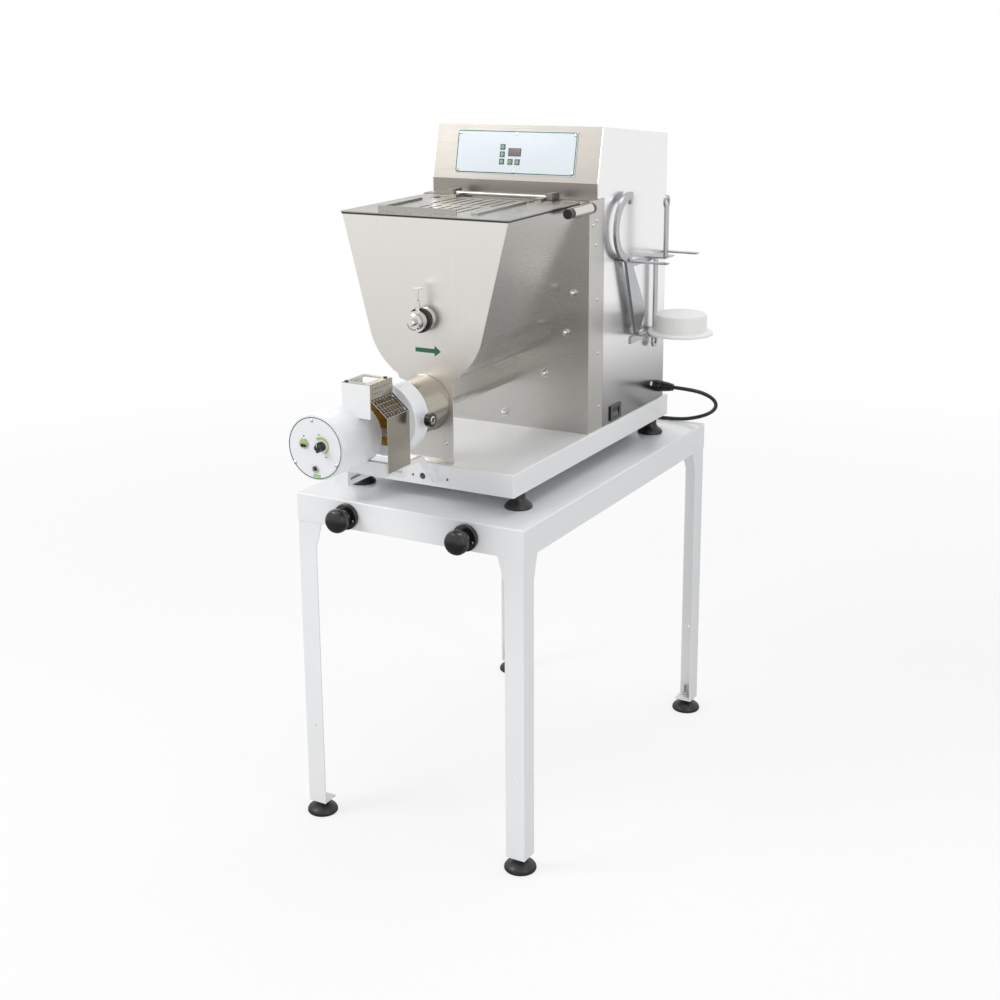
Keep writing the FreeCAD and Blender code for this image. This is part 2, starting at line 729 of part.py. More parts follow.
for side in ("-", ""):
    screws.append(stand_on(turned("bobbin_screw", SCREW), side + "bobbin_x + bobbin_screw_x + 3",
                           "-stand_depth / 2 - bobbin_disc_depth + 0.2", "bobbin_z - bobbin_screw_drop", "-y"))
node("panel_screws", group("panel_screws_group", screws))

# Main switch: a framed rocker low on the right cover.
frame = block("switch_frame", ("cab_half", "cab_half + 3"), ("switch_y - 24", "switch_y + 24"),
              ("switch_z - 15", "switch_z + 15"))
body = block("switch_body", ("cab_half - 22", "cab_half + 1"), ("switch_y - 19", "switch_y + 19"),
             ("switch_z - 11", "switch_z + 11"))
well = block("switch_well", ("cab_half - 12", "cab_half + 6"), ("switch_y - 15", "switch_y + 15"),
             ("switch_z - 9.5", "switch_z + 9.5"))
node("main_switch", cut("switch_cut", fuse("switch_whole", [frame, body]), [well]))
rocker = prism("rocker_body", "XZ_Plane", [("-4", "-8.8"), ("1.4", "-8.8"), ("0.2", "0"), ("1.4", "8.8"),
                                           ("-4", "8.8"), ("-8", "0")], "28")
place(rocker, "cab_half + 1", "switch_y + 14", "switch_z")
node("main_rocker", rocker)
plug = turned("white_plug", [("0", "-3"), ("3.4", "-3"), ("3.4", "0"), ("5", "0"), ("4.4", "1.2"), ("0", "1.6")])
stand_on(plug, "cab_half", "260", "base_top + 38", "x")

# Cable gland pointing out of the right cover, and its cord.
gland = turned("gland_body", [("0", "-6"), ("gland_radius - 4.1", "-6"), ("gland_radius - 4.1", "0"),
                              ("gland_radius", "0"), ("gland_radius", "8"), ("gland_radius - 1.5", "9"),
                              ("gland_radius - 1", "gland_length - 6"), ("gland_radius - 4", "gland_length"),
                              ("0", "gland_length")])
node("cable_gland", stand_on(gland, "cab_half", "gland_y", "gland_z", "x"))

# Hopper tub: outer and inner bowls from the same rule, the inner one a skin smaller.
RISE = "(rim_z - mixer_z)"


def bowl(name, radius, half, trough, front, back, top):
    """Bowl solid: sides tangent to a half round about the mixer axis, trough below."""
    reach = "(%s * %s + %s * %s)" % (half, half, RISE, RISE)
    slant = "sqrt(%s - (%s) * (%s))" % (reach, radius, radius)
    tangent_x = "((%s) * (%s) * (%s) + (%s) * %s * %s) / %s" % (radius, radius, half, radius, RISE, slant, reach)
    tangent_z = "((%s) * (%s) * %s - (%s) * (%s) * %s) / %s" % (radius, radius, RISE, radius, half, slant, reach)
    wings = prism(name + "_wings", "XZ_Plane",
                  [("-(%s)" % tangent_x, "mixer_z + " + tangent_z), (tangent_x, "mixer_z + " + tangent_z),
                   (half, "rim_z"), (half, top), ("-(%s)" % half, top), ("-(%s)" % half, "rim_z")],
                  "(%s) - (%s)" % (back, front), True)
    place(wings, "0", front, "0")
    round_part = rod(name + "_round", "y", radius, (front, back), "0", "mixer_z")
    gully = block(name + "_gully", ("-(%s)" % trough, trough), (front, back), ("auger_z", "mixer_z"))
    gutter = rod(name + "_gutter", "y", trough, (front, back), "0", "auger_z")
    return fuse(name, [wings, round_part, gully, gutter])


outer = bowl("bowl_outer", "bowl_radius", "mouth_half", "trough_half", "front_plane", "wall_front", "rim_z + 0.01")
inner = bowl("bowl_inner", "(bowl_radius - hopper_skin)", "(mouth_half - hopper_skin * 1.03)",
             "(trough_half - hopper_skin)", "front_plane - 5", "wall_front - hopper_skin", "rim_z + 5")
back_bores = [rod("tub_bore_mixer", "y", "mixer_shaft_radius + bore_clearance",
                  ("wall_front - 8", "wall_front + 8"), "0", "mixer_z"),
              rod("tub_bore_auger", "y", "auger_core + bore_clearance",
                  ("wall_front - 8", "wall_front + 8"), "0", "auger_z")]
rear_ledge = block("rear_ledge", ("-mouth_half", "mouth_half"), ("lid_back + 0.5", "wall_front"),
                   ("rim_z - 0.5", "rim_z + 1.5"))
node("hopper_tub", fuse("tub_whole", [cut("tub_cut", outer, [inner] + back_bores), rear_ledge]))

# Front plate of the hopper: the bowl outline, a leg down to the base and a forward toe.
face = bowl("face_bowl", "bowl_radius", "mouth_half", "trough_half", "front_plane - front_skin", "front_plane",
            "rim_z + 0.01")
shank = block("face_leg", ("-leg_half", "leg_half"), ("front_plane - front_skin", "front_plane"),
              ("base_top", "mixer_z - bowl_radius + leg_round"))
toe = block("face_toe", ("-leg_half", "leg_half"), ("front_plane - toe_length", "front_plane"),
            ("base_top", "base_top + front_skin"))
LIFT = "(bowl_radius + leg_round) * (bowl_radius + leg_round) - (leg_half + leg_round) * (leg_half + leg_round)"
webs = []
voids = []
for side in ("-", ""):
    x = [side + "(leg_half - 1)", side + "(leg_half + leg_round)"]
    if side:
        x.reverse()
    webs.append(block("face_web", x, ("front_plane - front_skin", "front_plane"),
                      ("mixer_z - sqrt(%s)" % LIFT, "mixer_z - sqrt(%s) + leg_round + 12" % LIFT)))
    voids.append(rod("face_web_round", "y", "leg_round", ("front_plane - 9", "front_plane + 9"),
                     side + "(leg_half + leg_round)", "mixer_z - sqrt(%s)" % LIFT))
weld = turned("weld_nut", [("0", "0"), ("4", "0"), ("3.4", "3"), ("1.5", "4.4"), ("0", "4.4")])
stand_on(weld, "leg_half - 16", "front_plane - front_skin", "base_top + 38", "-y")
face = fuse("face_whole", [face, shank, toe, weld] + webs)
bores = voids + [rod("face_bore_mixer", "y", "mixer_shaft_radius + bore_clearance",
                     ("front_plane - 9", "front_plane + 9"), "0", "mixer_z"),
                 rod("face_bore_auger", "y", "trough_half - hopper_skin", ("front_plane - 9", "front_plane + 9"),
                     "0", "auger_z")]
node("hopper_front", cut("face_cut", face, bores))

# Black seal around the mouth.
ring = block("seal_outer", ("-mouth_half - 1", "mouth_half + 1"), ("front_plane - front_skin - 1", "lid_back"),
             ("rim_z", "rim_z + seal_height"))
hole = block("seal_inner", ("-mouth_half + seal_width", "mouth_half - seal_width"),
             ("front_plane - front_skin + seal_width", "lid_back + 5"), ("rim_z - 1", "rim_z + seal_height + 1"))
node("lid_seal", cut("seal_cut", ring, [hole]))

# Lid: a flat sheet with slots, a bent-up lip and two tapered ribs, on a rod at the back.
LID_LOW = "rim_z + seal_height + 0.4"
LID_TOP = "rim_z + seal_height + 0.4 + lid_skin"
sheet_lid = block("lid_sheet", ("-mouth_half - 2", "mouth_half + 2"), ("front_plane - front_skin - 3", "lid_back"),
                  (LID_LOW, LID_TOP))
lip = block("lid_lip_bar", ("-102", "60"), ("front_plane + 12", "front_plane + 14"), (LID_TOP, LID_TOP + " + lid_lip"))
ribs = []
for x, y0, y1 in ((-128, -262, -130), (86, -300, -112)):
    rib = prism("lid_rib", "XY_Plane", [("-9", "0"), ("5", "0"), ("2", str(y1 - y0)), ("-2", str(y1 - y0))], "3.5")
    place(rib, str(x), str(y0), LID_TOP)
    ribs.append(rib)
slots = []
for number in range(7):
    x = "(%d) * slot_pitch - 12" % (number - 3)
    slots.append(block("lid_slot", (x + " - slot_width / 2", x + " + slot_width / 2"),
                       ("-182", "-182 + slot_length"), (LID_LOW + " - 2", LID_TOP + " + 2")))
for number in range(6):
    x = "(%d) * slot_pitch - 12 + slot_pitch / 2" % (number - 3)
    slots.append(block("lid_slot", (x + " - slot_width / 2", x + " + slot_width / 2"),
                       ("-290", "-290 + slot_length"), (LID_LOW + " - 2", LID_TOP + " + 2")))
for x in (-118, 84):
    notch = prism("lid_notch", "XY_Plane", [("-10", "0"), ("10", "0"), ("0", "26")], "12")
    place(notch, str(x), "-100", LID_LOW + " - 4")
    slots.append(notch)
tabs = []
for side in ("-", ""):
    tabs.append(block("lid_tab", both(side, "hinge_tab_inner", "hinge_tab_outer"), ("lid_back - 14", "hinge_y"),
                      (LID_LOW, "hinge_z - 1")))
rod_whole = rod("hinge_rod", "x", "hinge_radius", ("-hinge_rod_end", "hinge_rod_end"), "hinge_y", "hinge_z")
lid_whole = cut("lid_cut", fuse("lid_whole", [sheet_lid, lip] + ribs), slots)
node("lid", fuse("lid_body", [lid_whole, rod_whole] + tabs))

blocks = []
for side in ("-", ""):
    stand = block("hinge_stand", both(side, "(hinge_tab_outer + 1)", "(hinge_rod_end - 2)"),
                  ("hinge_y - hinge_radius - 4", "wall_front + 12"), ("wall_top + head_inset", "hinge_z + 7"))
    bore = rod("hinge_bore", "x", "hinge_radius + hinge_clearance",
               both(side, "(hinge_tab_outer - 5)", "(hinge_rod_end + 9)"), "hinge_y", "hinge_z")
    blocks.append(cut("hinge_stand_cut", stand, [bore]))
node("control_head", fuse("head_whole", [head_sheet] + blocks))

# Polished sleeve with black ends beside the rim, fixed to the corner of the wall.
sleeve = rod("sleeve", "y", "sleeve_radius", ("sleeve_front", "sleeve_back"), "sleeve_x", "sleeve_z")
node("side_sleeve", sleeve)
ends = [rod("sleeve_front_end", "y", "sleeve_radius - 2", ("sleeve_front - 12", "sleeve_front"), "sleeve_x",
            "sleeve_z"),
        rod("sleeve_back_end", "y", "sleeve_radius - 1", ("sleeve_back", "wall_front"), "sleeve_x", "sleeve_z")]
node("sleeve_ends", group("sleeve_ends_group", ends))

# Mixer: a shaft on bearings at both ends with five crossed paddles.
SHAFT = ("boss_front - 3", "box_front + 36")
parts = [rod("mixer_shaft", "y", "mixer_shaft_radius", SHAFT, "0", "mixer_z")]
for number in range(5):
    y = "front_plane + 34 + %d * 52" % number
    arm = rod("mixer_arm", "z" if number % 2 else "x", "blade_thick",
              ("mixer_z - mixer_sweep + 12", "mixer_z + mixer_sweep - 12") if number % 2 else
              ("-mixer_sweep + 12", "mixer_sweep - 12"),
              "0" if number % 2 else y, y if number % 2 else "mixer_z")
    parts.append(arm)
    for side in ("-", ""):
        if number % 2:
            z = ["mixer_z %s (mixer_sweep - 22)" % (side or "+"), "mixer_z %s (mixer_sweep - 6)" % (side or "+")]
            if side:
                z.reverse()
            parts.append(block("paddle", ("-blade_width / 2", "blade_width / 2"), (y + " - 4", y + " + 4"), z))
        else:
            parts.append(block("paddle", both(side, "(mixer_sweep - 22)", "(mixer_sweep - 6)"),
                               (y + " - 4", y + " + 4"),
                               ("mixer_z - blade_width / 2", "mixer_z + blade_width / 2")))
cap = turned("shaft_cap", [("0", "0"), ("cap_radius", "0"), ("cap_radius", "5"),
                           ("cap_radius - 3", "7"), ("6.5", "7"), ("6.5", "14"), ("5", "16"), ("0", "16")])
stand_on(cap, "0", "boss_front - 0.4", "mixer_z", "-y")
parts.append(cap)
node("mixer", fuse("mixer_whole", parts))

boss = turned("boss", [("mixer_shaft_radius + bore_clearance", "0"), ("boss_radius", "0"),
                       ("boss_radius", "5"),
                       ("boss_radius - 2", "6"), ("boss_radius - 2", "front_plane - front_skin - boss_front"),
                       ("mixer_shaft_radius + bore_clearance", "front_plane - front_skin - boss_front")])
stand_on(boss, "0", "front_plane - front_skin", "mixer_z", "-y")
pin_bore = rod("pin_bore", "z", "pin_radius + bore_clearance", ("mixer_z + mixer_shaft_radius + 2", "mixer_z + 30"),
               "0", "pin_y")
node("bearing_boss", cut("boss_cut", boss, [pin_bore]))
seal = turned("hub_seal", [("boss_radius - 2", "10"), ("boss_seal_radius", "10"),
                           ("boss_seal_radius", "10 + boss_seal_depth"), ("boss_radius - 2", "10 + boss_seal_depth")])
node("boss_seal", stand_on(seal, "0", "front_plane - front_skin", "mixer_z", "-y"))
node("lift_pin", stand_on(turned("pin_turned", [("0", "0"), ("pin_radius", "0"), ("pin_radius", "22"),
                                                ("pin_radius - 1.4", "23"),
                                                ("pin_radius - 1.4", "pin_top - pin_bottom - 3"),
                                                ("pin_head_radius", "pin_top - pin_bottom - 1.5"),
                                                ("pin_head_radius", "pin_top - pin_bottom"),
                                                ("0", "pin_top - pin_bottom")]), "0", "pin_y", "pin_bottom"))

# Barrel, die, ring nut with two lever knobs, and the auger.
BARREL = [("trough_half - hopper_skin", "0"), ("barrel_radius + 1.5", "0"), ("barrel_radius + 1.5", "2"),
          ("barrel_radius", "2.5"), ("barrel_radius", "BASE - 1"), ("thread_radius", "BASE"),
          ("thread_radius", "FRONT"), ("die_face_radius", "FRONT"), ("die_face_radius", "FRONT - 12"),
          ("trough_half - hopper_skin", "FRONT - 26")]
swap = {"BASE": "(front_plane - front_skin - barrel_front)", "FRONT": "(front_plane - front_skin - thread_front)"}
corners = []
for first, second in BARREL:
    for word, text in swap.items():
        second = second.replace(word, text)
    corners.append((first, second))
node("barrel", stand_on(turned("barrel_turned", corners), "0", "front_plane - front_skin", "auger_z", "-y"))
nut = turned("nut_turned", [("thread_radius + thread_clearance", "0"), ("nut_outer - 3", "0"), ("nut_outer", "3"),
                            ("nut_outer", "barrel_front - nut_front - 3"),
                            ("nut_outer - 3", "barrel_front - nut_front"), ("nut_lip", "barrel_front - nut_front"),
                            ("nut_lip", "barrel_front - nut_front - 4"),
                            ("die_radius + 0.4", "barrel_front - nut_front - 4"),
                            ("die_radius + 0.4", "barrel_front - thread_front + 0.4"),
                            ("thread_radius + thread_clearance", "barrel_front - thread_front + 0.4")])
stand_on(nut, "0", "barrel_front", "auger_z", "-y")
necks = [rod("knob_neck", "x", "5", both(side, "(nut_outer - 4)", "(knob_start + 1)"), "knob_y", "auger_z + 4")
         for side in ("-", "")]
node("ring_nut", fuse("nut_whole", [nut] + necks))
knobs = []
for side in ("-", ""):
    knob = turned("lever_knob", [("0", "0"), ("7", "0"), ("knob_radius", "5"), ("knob_radius", "13"),
                                 ("knob_radius - 2", "15"), ("knob_radius - 5", "15"), ("knob_radius - 5", "14"),
                                 ("0", "14")])
    knobs.append(stand_on(knob, side + "(knob_start + 1)", "knob_y", "auger_z + 4", "-x" if side else "x"))
node("lever_knobs", group("lever_knobs_group", knobs))
die = turned("die_turned", [("0", "0"), ("die_radius", "0"), ("die_radius", "9.4"), ("die_face_radius", "9.4"),
                            ("die_face_radius", "thread_front - die_front"), ("0", "thread_front - die_front")])
stand_on(die, "0", "thread_front", "auger_z", "-y")
die_holes = []
for number in range(12):
    turn = math.radians(30 * number)
    for reach in (18, 32):
        die_holes.append(rod("die_hole", "y", "die_hole_radius", ("die_front - 5", "thread_front + 5"),
                             "%.3f" % (reach * math.cos(turn)), "auger_z + %.3f" % (reach * math.sin(turn))))
node("die", cut("die_cut", die, die_holes))

# Auger: a helical flight swept round a core, read from the sheet in code.
core_length = value("box_front + 36 - thread_front - 30")
flight_length = value("wall_front - hopper_skin - 5 - thread_front - 38")
helix = Part.makeHelix(value("auger_pitch"), flight_length, value("auger_core"))
inner_r = value("auger_core") - 2
outer_r = value("auger_radius") - 1.2
thick = 5.0
profile = Part.makePolygon([V(inner_r, 0, -thick / 2), V(outer_r, 0, -thick / 3), V(outer_r, 0, thick / 3),
                            V(inner_r, 0, thick / 2), V(inner_r, 0, -thick / 2)])
flight = Part.Wire(helix).makePipeShell([Part.Wire(profile)], True, True)
core = Part.makeCylinder(value("auger_core"), core_length, V(0, 0, -8))
screw_shape = core.fuse(flight)
auger = doc.addObject("Part::Feature", "auger_feature")
auger.Shape = screw_shape
auger.Placement = FreeCAD.Placement(V(0, value("thread_front + 38"), value("auger_z")),
                                    FreeCAD.Rotation(V(1, 0, 0), -90))
node("auger", auger)


def gear(name, x, z, bore, phase):
    """Spur gear body: a disc at tip radius with one tooth gap cut and repeated."""
    body = body_of(name)
    sketch = body.newObject("Sketcher::SketchObject", name + "_disc")
    sketch.AttachmentSupport = [(origin_plane(body, "XY_Plane"), "")]
    sketch.MapMode = "FlatFace"
    tip = "(gear_module * gear_teeth / 2 + gear_module)"
    sketch.addGeometry(Part.Circle(V(0, 0, 0), V(0, 0, 1), value(tip)), False)
    sketch.addGeometry(Part.Circle(V(0, 0, 0), V(0, 0, 1), value(bore)), False)
    sketch.addConstraint(Sketcher.Constraint("Coincident", 0, 3, -1, 1))
    sketch.addConstraint(Sketcher.Constraint("Coincident", 1, 3, -1, 1))
    first = sketch.addConstraint(Sketcher.Constraint("Radius", 0, value(tip)))
    second = sketch.addConstraint(Sketcher.Constraint("Radius", 1, value(bore)))
    sketch.setExpression("Constraints[%d]" % first, bound(tip))
    sketch.setExpression("Constraints[%d]" % second, bound(bore))
    pad = body.newObject("PartDesign::Pad", name + "_pad")
    pad.Profile = sketch
    pad.setExpression("Length", bound("gear_width"))
    doc.recompute()
    root = "(gear_module * gear_teeth / 2 - 1.25 * gear_module)"
    top = "(gear_module * gear_teeth / 2 + 1.3 * gear_module)"
    gap = outline(body, name + "_gap", "XY_Plane",
                  [(root, "-gear_module * 0.56"), (top, "-gear_module * 1.27"), (top, "gear_module * 1.27"),
                   (root, "gear_module * 0.56")])
    pocket = body.newObject("PartDesign::Pocket", name + "_tooth_gap")
    pocket.Profile = gap
    pocket.Reversed = True
    pocket.Type = 1
    doc.recompute()
    pattern = body.newObject("PartDesign::PolarPattern", name + "_teeth")
    pattern.Originals = [pocket]
    pattern.Axis = (origin_plane(body, "Z_Axis"), [""])
    pattern.Angle = 360
    pattern.setExpression("Occurrences", bound("gear_teeth"))
    body.Tip = pattern
    doc.recompute()
    turn = FreeCAD.Rotation(V(1, 0, 0), -90).multiply(FreeCAD.Rotation(V(0, 0, 1), phase))
    place(body, x, "gear_front", z)
    body.Placement = FreeCAD.Placement(body.Placement.Base, turn)
    return body


TOOTH = 360.0 / value("gear_teeth")
node("auger_gear", gear("gear_low", "0", "auger_z", "auger_core", 0))
node("idler_gear", gear("gear_mid", "0", "(auger_z + mixer_z) / 2", "8", TOOTH / 2))
node("mixer_gear", gear("gear_high", "0", "mixer_z", "mixer_shaft_radius", 0))
axle = rod("idler_axle", "y", "8 - bore_clearance", ("wall_front + wall_skin", "box_front"), "0",
           "(auger_z + mixer_z) / 2")

# Gear motor standing on the base inside the cabinet.
box_part = block("gear_case", ("-box_half", "box_half"), ("box_front", "box_back"),
                 ("auger_z - box_half", "mixer_z + 28"))
foot_part = block("gear_foot", ("-box_half - 14", "box_half + 14"), ("box_front + 6", "box_back - 6"),
                  ("base_top", "auger_z - box_half"))
bores = [rod("box_bore_auger", "y", "auger_core + bore_clearance", ("box_front - 5", "box_front + 40"), "0",
             "auger_z"),
         rod("box_bore_mixer", "y", "mixer_shaft_radius + bore_clearance", ("box_front - 5", "box_front + 40"),
             "0", "mixer_z")]
node("gear_box", cut("gear_box_cut", fuse("gear_box_whole", [box_part, foot_part, axle]), bores))
motor_turned = turned("motor_turned", [("0", "0"), ("motor_radius + 8", "0"), ("motor_radius + 8", "10"),
                                       ("motor_radius", "12"), ("motor_radius", "130"),
                                       ("motor_radius - 2", "132"), ("motor_radius - 2", "motor_back - box_back - 6"),
                                       ("motor_radius - 8", "motor_back - box_back"),
                                       ("0", "motor_back - box_back")])
node("motor", stand_on(motor_turned, "0", "box_back", "auger_z + 40", "y"))

# Cutter unit: a white drum beside the die axis with its face toward the front.
drum = turned("drum", [("0", "0"), ("cutter_radius - 4", "0"), ("cutter_radius", "3"),
                       ("cutter_radius", "cutter_back - cutter_front"),
                       ("cutter_radius - cutter_skin", "cutter_back - cutter_front"),
                       ("cutter_radius - cutter_skin", "5"), ("0", "5")])
stand_on(drum, "cutter_x", "cutter_back", "cutter_z", "-y")
shaft_bore = rod("drum_bore", "y", "spindle_radius + bore_clearance", ("cutter_back - 9", "cutter_back + 5"), "cutter_x", "cutter_z")
node("cutter_housing", cut("drum_cut", drum, [shaft_bore]))
face_part = rod("face_disc", "y", "face_radius", ("cutter_front - face_skin", "cutter_front"), "cutter_x",
                "cutter_z")
face_rim = rod("face_spigot", "y", "cutter_radius - cutter_skin", ("cutter_front", "cutter_front + 4"),
               "cutter_x", "cutter_z")
sockets = [rod("socket_bore", "y", "4.2", ("cutter_front - 9", "cutter_front + 2"), "cutter_x",
               "cutter_z - 36"),
           rod("knob_bore", "y", "knob_shank + bore_clearance", ("cutter_front - 9", "cutter_front + 9"), "cutter_x + 14", "cutter_z + 5"),
           rod("switch_bore_round", "y", "switch_button + bore_clearance", ("cutter_front - 9", "cutter_front + 9"), "cutter_x - 22",
               "cutter_z + 6")]
node("cutter_face", cut("face_cut_round", fuse("face_round", [face_part, face_rim]), sockets))
knob_turned = turned("speed_knob_body", [("0", "-9"), ("knob_shank", "-9"), ("knob_shank", "0.5"), ("8.5", "0.5"), ("8.5", "3"),
                                    ("7", "4"), ("6.2", "14"), ("5.4", "15"), ("0", "15")])
stand_on(knob_turned, "cutter_x + 14", "cutter_front - face_skin", "cutter_z + 5", "-y")
pointer = block("speed_pointer", ("cutter_x + 14 - 1.2", "cutter_x + 14 + 1.2"),
                ("cutter_front - face_skin - 15.6", "cutter_front - face_skin - 1"),
                ("cutter_z + 5", "cutter_z + 5 + 8.4"))
node("speed_knob", fuse("speed_knob_whole", [knob_turned, pointer]))
button = turned("round_switch", [("0", "-8"), ("switch_button", "-8"), ("switch_button", "2.2"), ("switch_button - 0.8", "3"), ("0", "2.4")])
node("round_switch", stand_on(button, "cutter_x - 22", "cutter_front - face_skin", "cutter_z + 6", "-y"))

# Cutter spindle and the blade that sweeps the die.
spindle = rod("blade_spindle", "y", "spindle_radius", ("cutter_back - 60", "die_front - 1.2"), "cutter_x", "cutter_z")
arm = block("blade_arm", ("cutter_x - 9", "cutter_x + sweep_radius - 2"), ("die_front - 3", "die_front - 1"),
            ("cutter_z - 8", "cutter_z + 8"))
hub_blade = rod("blade_hub", "y", "12", ("die_front - 14", "die_front - 1"), "cutter_x", "cutter_z")
node("cutter_blade", fuse("cutter_blade_whole", [spindle, arm, hub_blade]))

# Hood over the die: front wall, left wall and a top with a window.
hood = fuse("hood_whole", [
    block("hood_front", ("hood_left", "panel_x"), ("guard_front", "guard_front + guard_skin"),
          ("cutter_z + 40", "hood_top")),
    block("hood_side", ("hood_left", "hood_left + guard_skin"), ("guard_front", "hood_back - 6"),
          ("cutter_z + 50", "hood_top")),
    block("hood_roof", ("hood_left", "panel_x"), ("guard_front", "hood_back"),
          ("hood_top - guard_skin", "hood_top"))])
window = block("hood_window", ("hood_left + 8", "panel_x - 14"), ("guard_front + 14", "hood_back - 10"),
               ("hood_top - 6", "hood_top + 6"))
drum_room = rod("hood_drum_room", "y", "cutter_radius", ("cutter_front", "cutter_back"), "cutter_x", "cutter_z")
node("cutter_hood", cut("hood_cut", hood, [window, drum_room]))

# Guard beside the die: perforated panel, slanted grid and a plain plate, bent from one sheet.
GUARD = [("guard_x", "guard_low"), ("guard_x + guard_skin", "guard_low"),
         ("guard_x + guard_skin", "guard_bend + 0.6"), ("panel_x + guard_skin", "panel_low + 0.6"),
         ("panel_x + guard_skin", "hood_top"), ("panel_x", "hood_top"), ("panel_x", "panel_low"),
         ("guard_x", "guard_bend")]
guard = prism("guard_sheet", "XZ_Plane", GUARD, "guard_back - guard_front", True)
place(guard, "0", "guard_front", "0")
holes = []
for line, count in ((0, 8), (1, 6)):
    for number in range(count):
        holes.append(rod("guard_hole", "x", "1.6", ("panel_x - 4", "panel_x + 6"),
                         "guard_front + 6 + %d * 7.6" % number, "hood_top - 8 - %d * 8" % line))
tilt = math.degrees(math.atan2(value("panel_low - guard_bend"), value("guard_x - panel_x")))
SLOPE = "sqrt((guard_x - panel_x) * (guard_x - panel_x) + (panel_low - guard_bend) * (panel_low - guard_bend))"
for column in range(4):
    for line in range(7):
        cell = plain_box("grid_cell", "7.6", "7", "12")
        along = "(4 + %d * 9.6)" % column
        place(cell, "panel_x + %s * (guard_x - panel_x) / %s - 2" % (along, SLOPE), "guard_front + 3 + %d * 9" % line,
              "panel_low - %s * (panel_low - guard_bend) / %s - 4" % (along, SLOPE), V(0, 1, 0), tilt)
        cell.setExpression("Placement.Rotation.Angle", bound("atan2(panel_low - guard_bend; guard_x - panel_x)"))
        holes.append(cell)
node("cutter_guard", cut("guard_cut", guard, holes))

# White bracket that carries the cutter unit from the skirt of the base.
BAR_TOP = "cutter_z - 62"
BAR_LOW = "cutter_z - 70"
STRUT = [("base_front", "base_bottom + 7"), ("base_front", "base_bottom + 25"), ("base_front - 46", BAR_TOP),
         ("cutter_back - 14", BAR_TOP), ("cutter_back - 14", BAR_LOW), ("base_front - 51", BAR_LOW)]
strut = prism("strut", "YZ_Plane", STRUT, "8")
place(strut, "18", "0", "0")
cross = block("strut_cross", ("26", "guard_x"), ("die_front - 21", "die_front - 9"), (BAR_LOW, BAR_TOP))
tab = block("strut_tab", ("guard_x - 3", "guard_x"), ("die_front - 21", "die_front - 9"), (BAR_LOW, "guard_low + 18"))
saddle = block("strut_saddle", ("cutter_x - 16", "26"), ("cutter_back - 14", "cutter_back - 4"),
               (BAR_LOW, "cutter_z - 46"))
room = rod("saddle_room", "y", "cutter_radius", ("cutter_back - 32", "cutter_back + 8"), "cutter_x", "cutter_z")
rail = block("rail", ("-140", "-112"), ("base_front - 82", "base_front"), ("base_bottom + 3", "base_bottom + 31"))
rail_slot = block("rail_slot", ("-150", "-100"), ("base_front - 74", "base_front - 6"),
                  ("base_bottom + 12", "base_bottom + 20"))
rail_hollow = block("rail_hollow", ("-138", "-114"), ("base_front - 80", "base_front + 2"),
                    ("base_bottom - 1", "base_bottom + 29"))
node("cutter_bracket", group("cutter_bracket_group",
                             [cut("strut_cut", fuse("strut_whole", [strut, cross, tab, saddle]), [room]),
                              cut("rail_cut", rail, [rail_slot, rail_hollow])]))

# Tool rack on the right cover: an upper fork, a centre tab and a lower shelf.
rack = [block("rack_strip", ("cab_half", "cab_half + 3"), ("140", "314"), ("rack_z - 9", "rack_z + 3")),
        block("rack_front", ("cab_half", "cab_half + 78"), ("144", "158"), ("rack_z", "rack_z + 3")),
        block("rack_back", ("cab_half", "cab_half + 78"), ("296", "310"), ("rack_z", "rack_z + 3")),
        block("rack_tab", ("cab_half", "cab_half + 46"), ("216", "258"), ("rack_z", "rack_z + 3"))]
shelf = [block("shelf_strip", ("cab_half", "cab_half + 3"), ("150", "280"), ("shelf_z - 14", "shelf_z")),
         block("shelf_front", ("cab_half", "cab_half + 84"), ("180", "194"), ("shelf_z - 3", "shelf_z")),
         block("shelf_back", ("cab_half", "cab_half + 84"), ("258", "272"), ("shelf_z - 3", "shelf_z"))]

# Hook spanner hanging flat beside the cover.
hook_ring = rod("hook_outer", "x", "68", ("cab_half + 8", "cab_half + 14"), "116", "rack_z + 74")
hook_hole = rod("hook_inner", "x", "54", ("cab_half + 2", "cab_half + 20"), "118", "rack_z + 74")
hook_open = block("hook_open", ("cab_half + 2", "cab_half + 20"), ("126", "260"), ("rack_z - 20", "rack_z + 160"))
arc_part = cut("hook_arc", hook_ring, [hook_hole, hook_open])
handle = prism("hook_handle", "YZ_Plane", [("92", "rack_z + 22"), ("100", "rack_z + 6"),
                                           ("150", "rack_z - 142"), ("160", "rack_z - 146"),
                                           ("192", "rack_z - 106"), ("192", "rack_z - 96"),
                                           ("122", "rack_z + 10"), ("122", "rack_z + 20")], "6")
place(handle, "cab_half + 8", "0", "0")
tooth = block("hook_tooth", ("cab_half + 8", "cab_half + 14"), ("116", "124"), ("rack_z + 118", "rack_z + 134"))
peg = rod("hook_peg", "x", "4", ("cab_half", "cab_half + 16"), "112", "rack_z + 12")
spanner_slot = block("spanner_slot", ("cab_half + 2", "cab_half + 20"), ("160", "172"), ("rack_z - 118", "rack_z - 114"))
hook = cut("hook_cut", fuse("hook_whole", [arc_part, handle, tooth]), [spanner_slot])
peg_hole = rod("hook_peg_hole", "x", "4.4", ("cab_half + 2", "cab_half + 20"), "112", "rack_z + 12")
node("hook_spanner", cut("hook_done", hook, [peg_hole]))
node("tool_rack", group("tool_rack_group", [fuse("rack_whole", rack), fuse("shelf_whole", shelf), peg]))

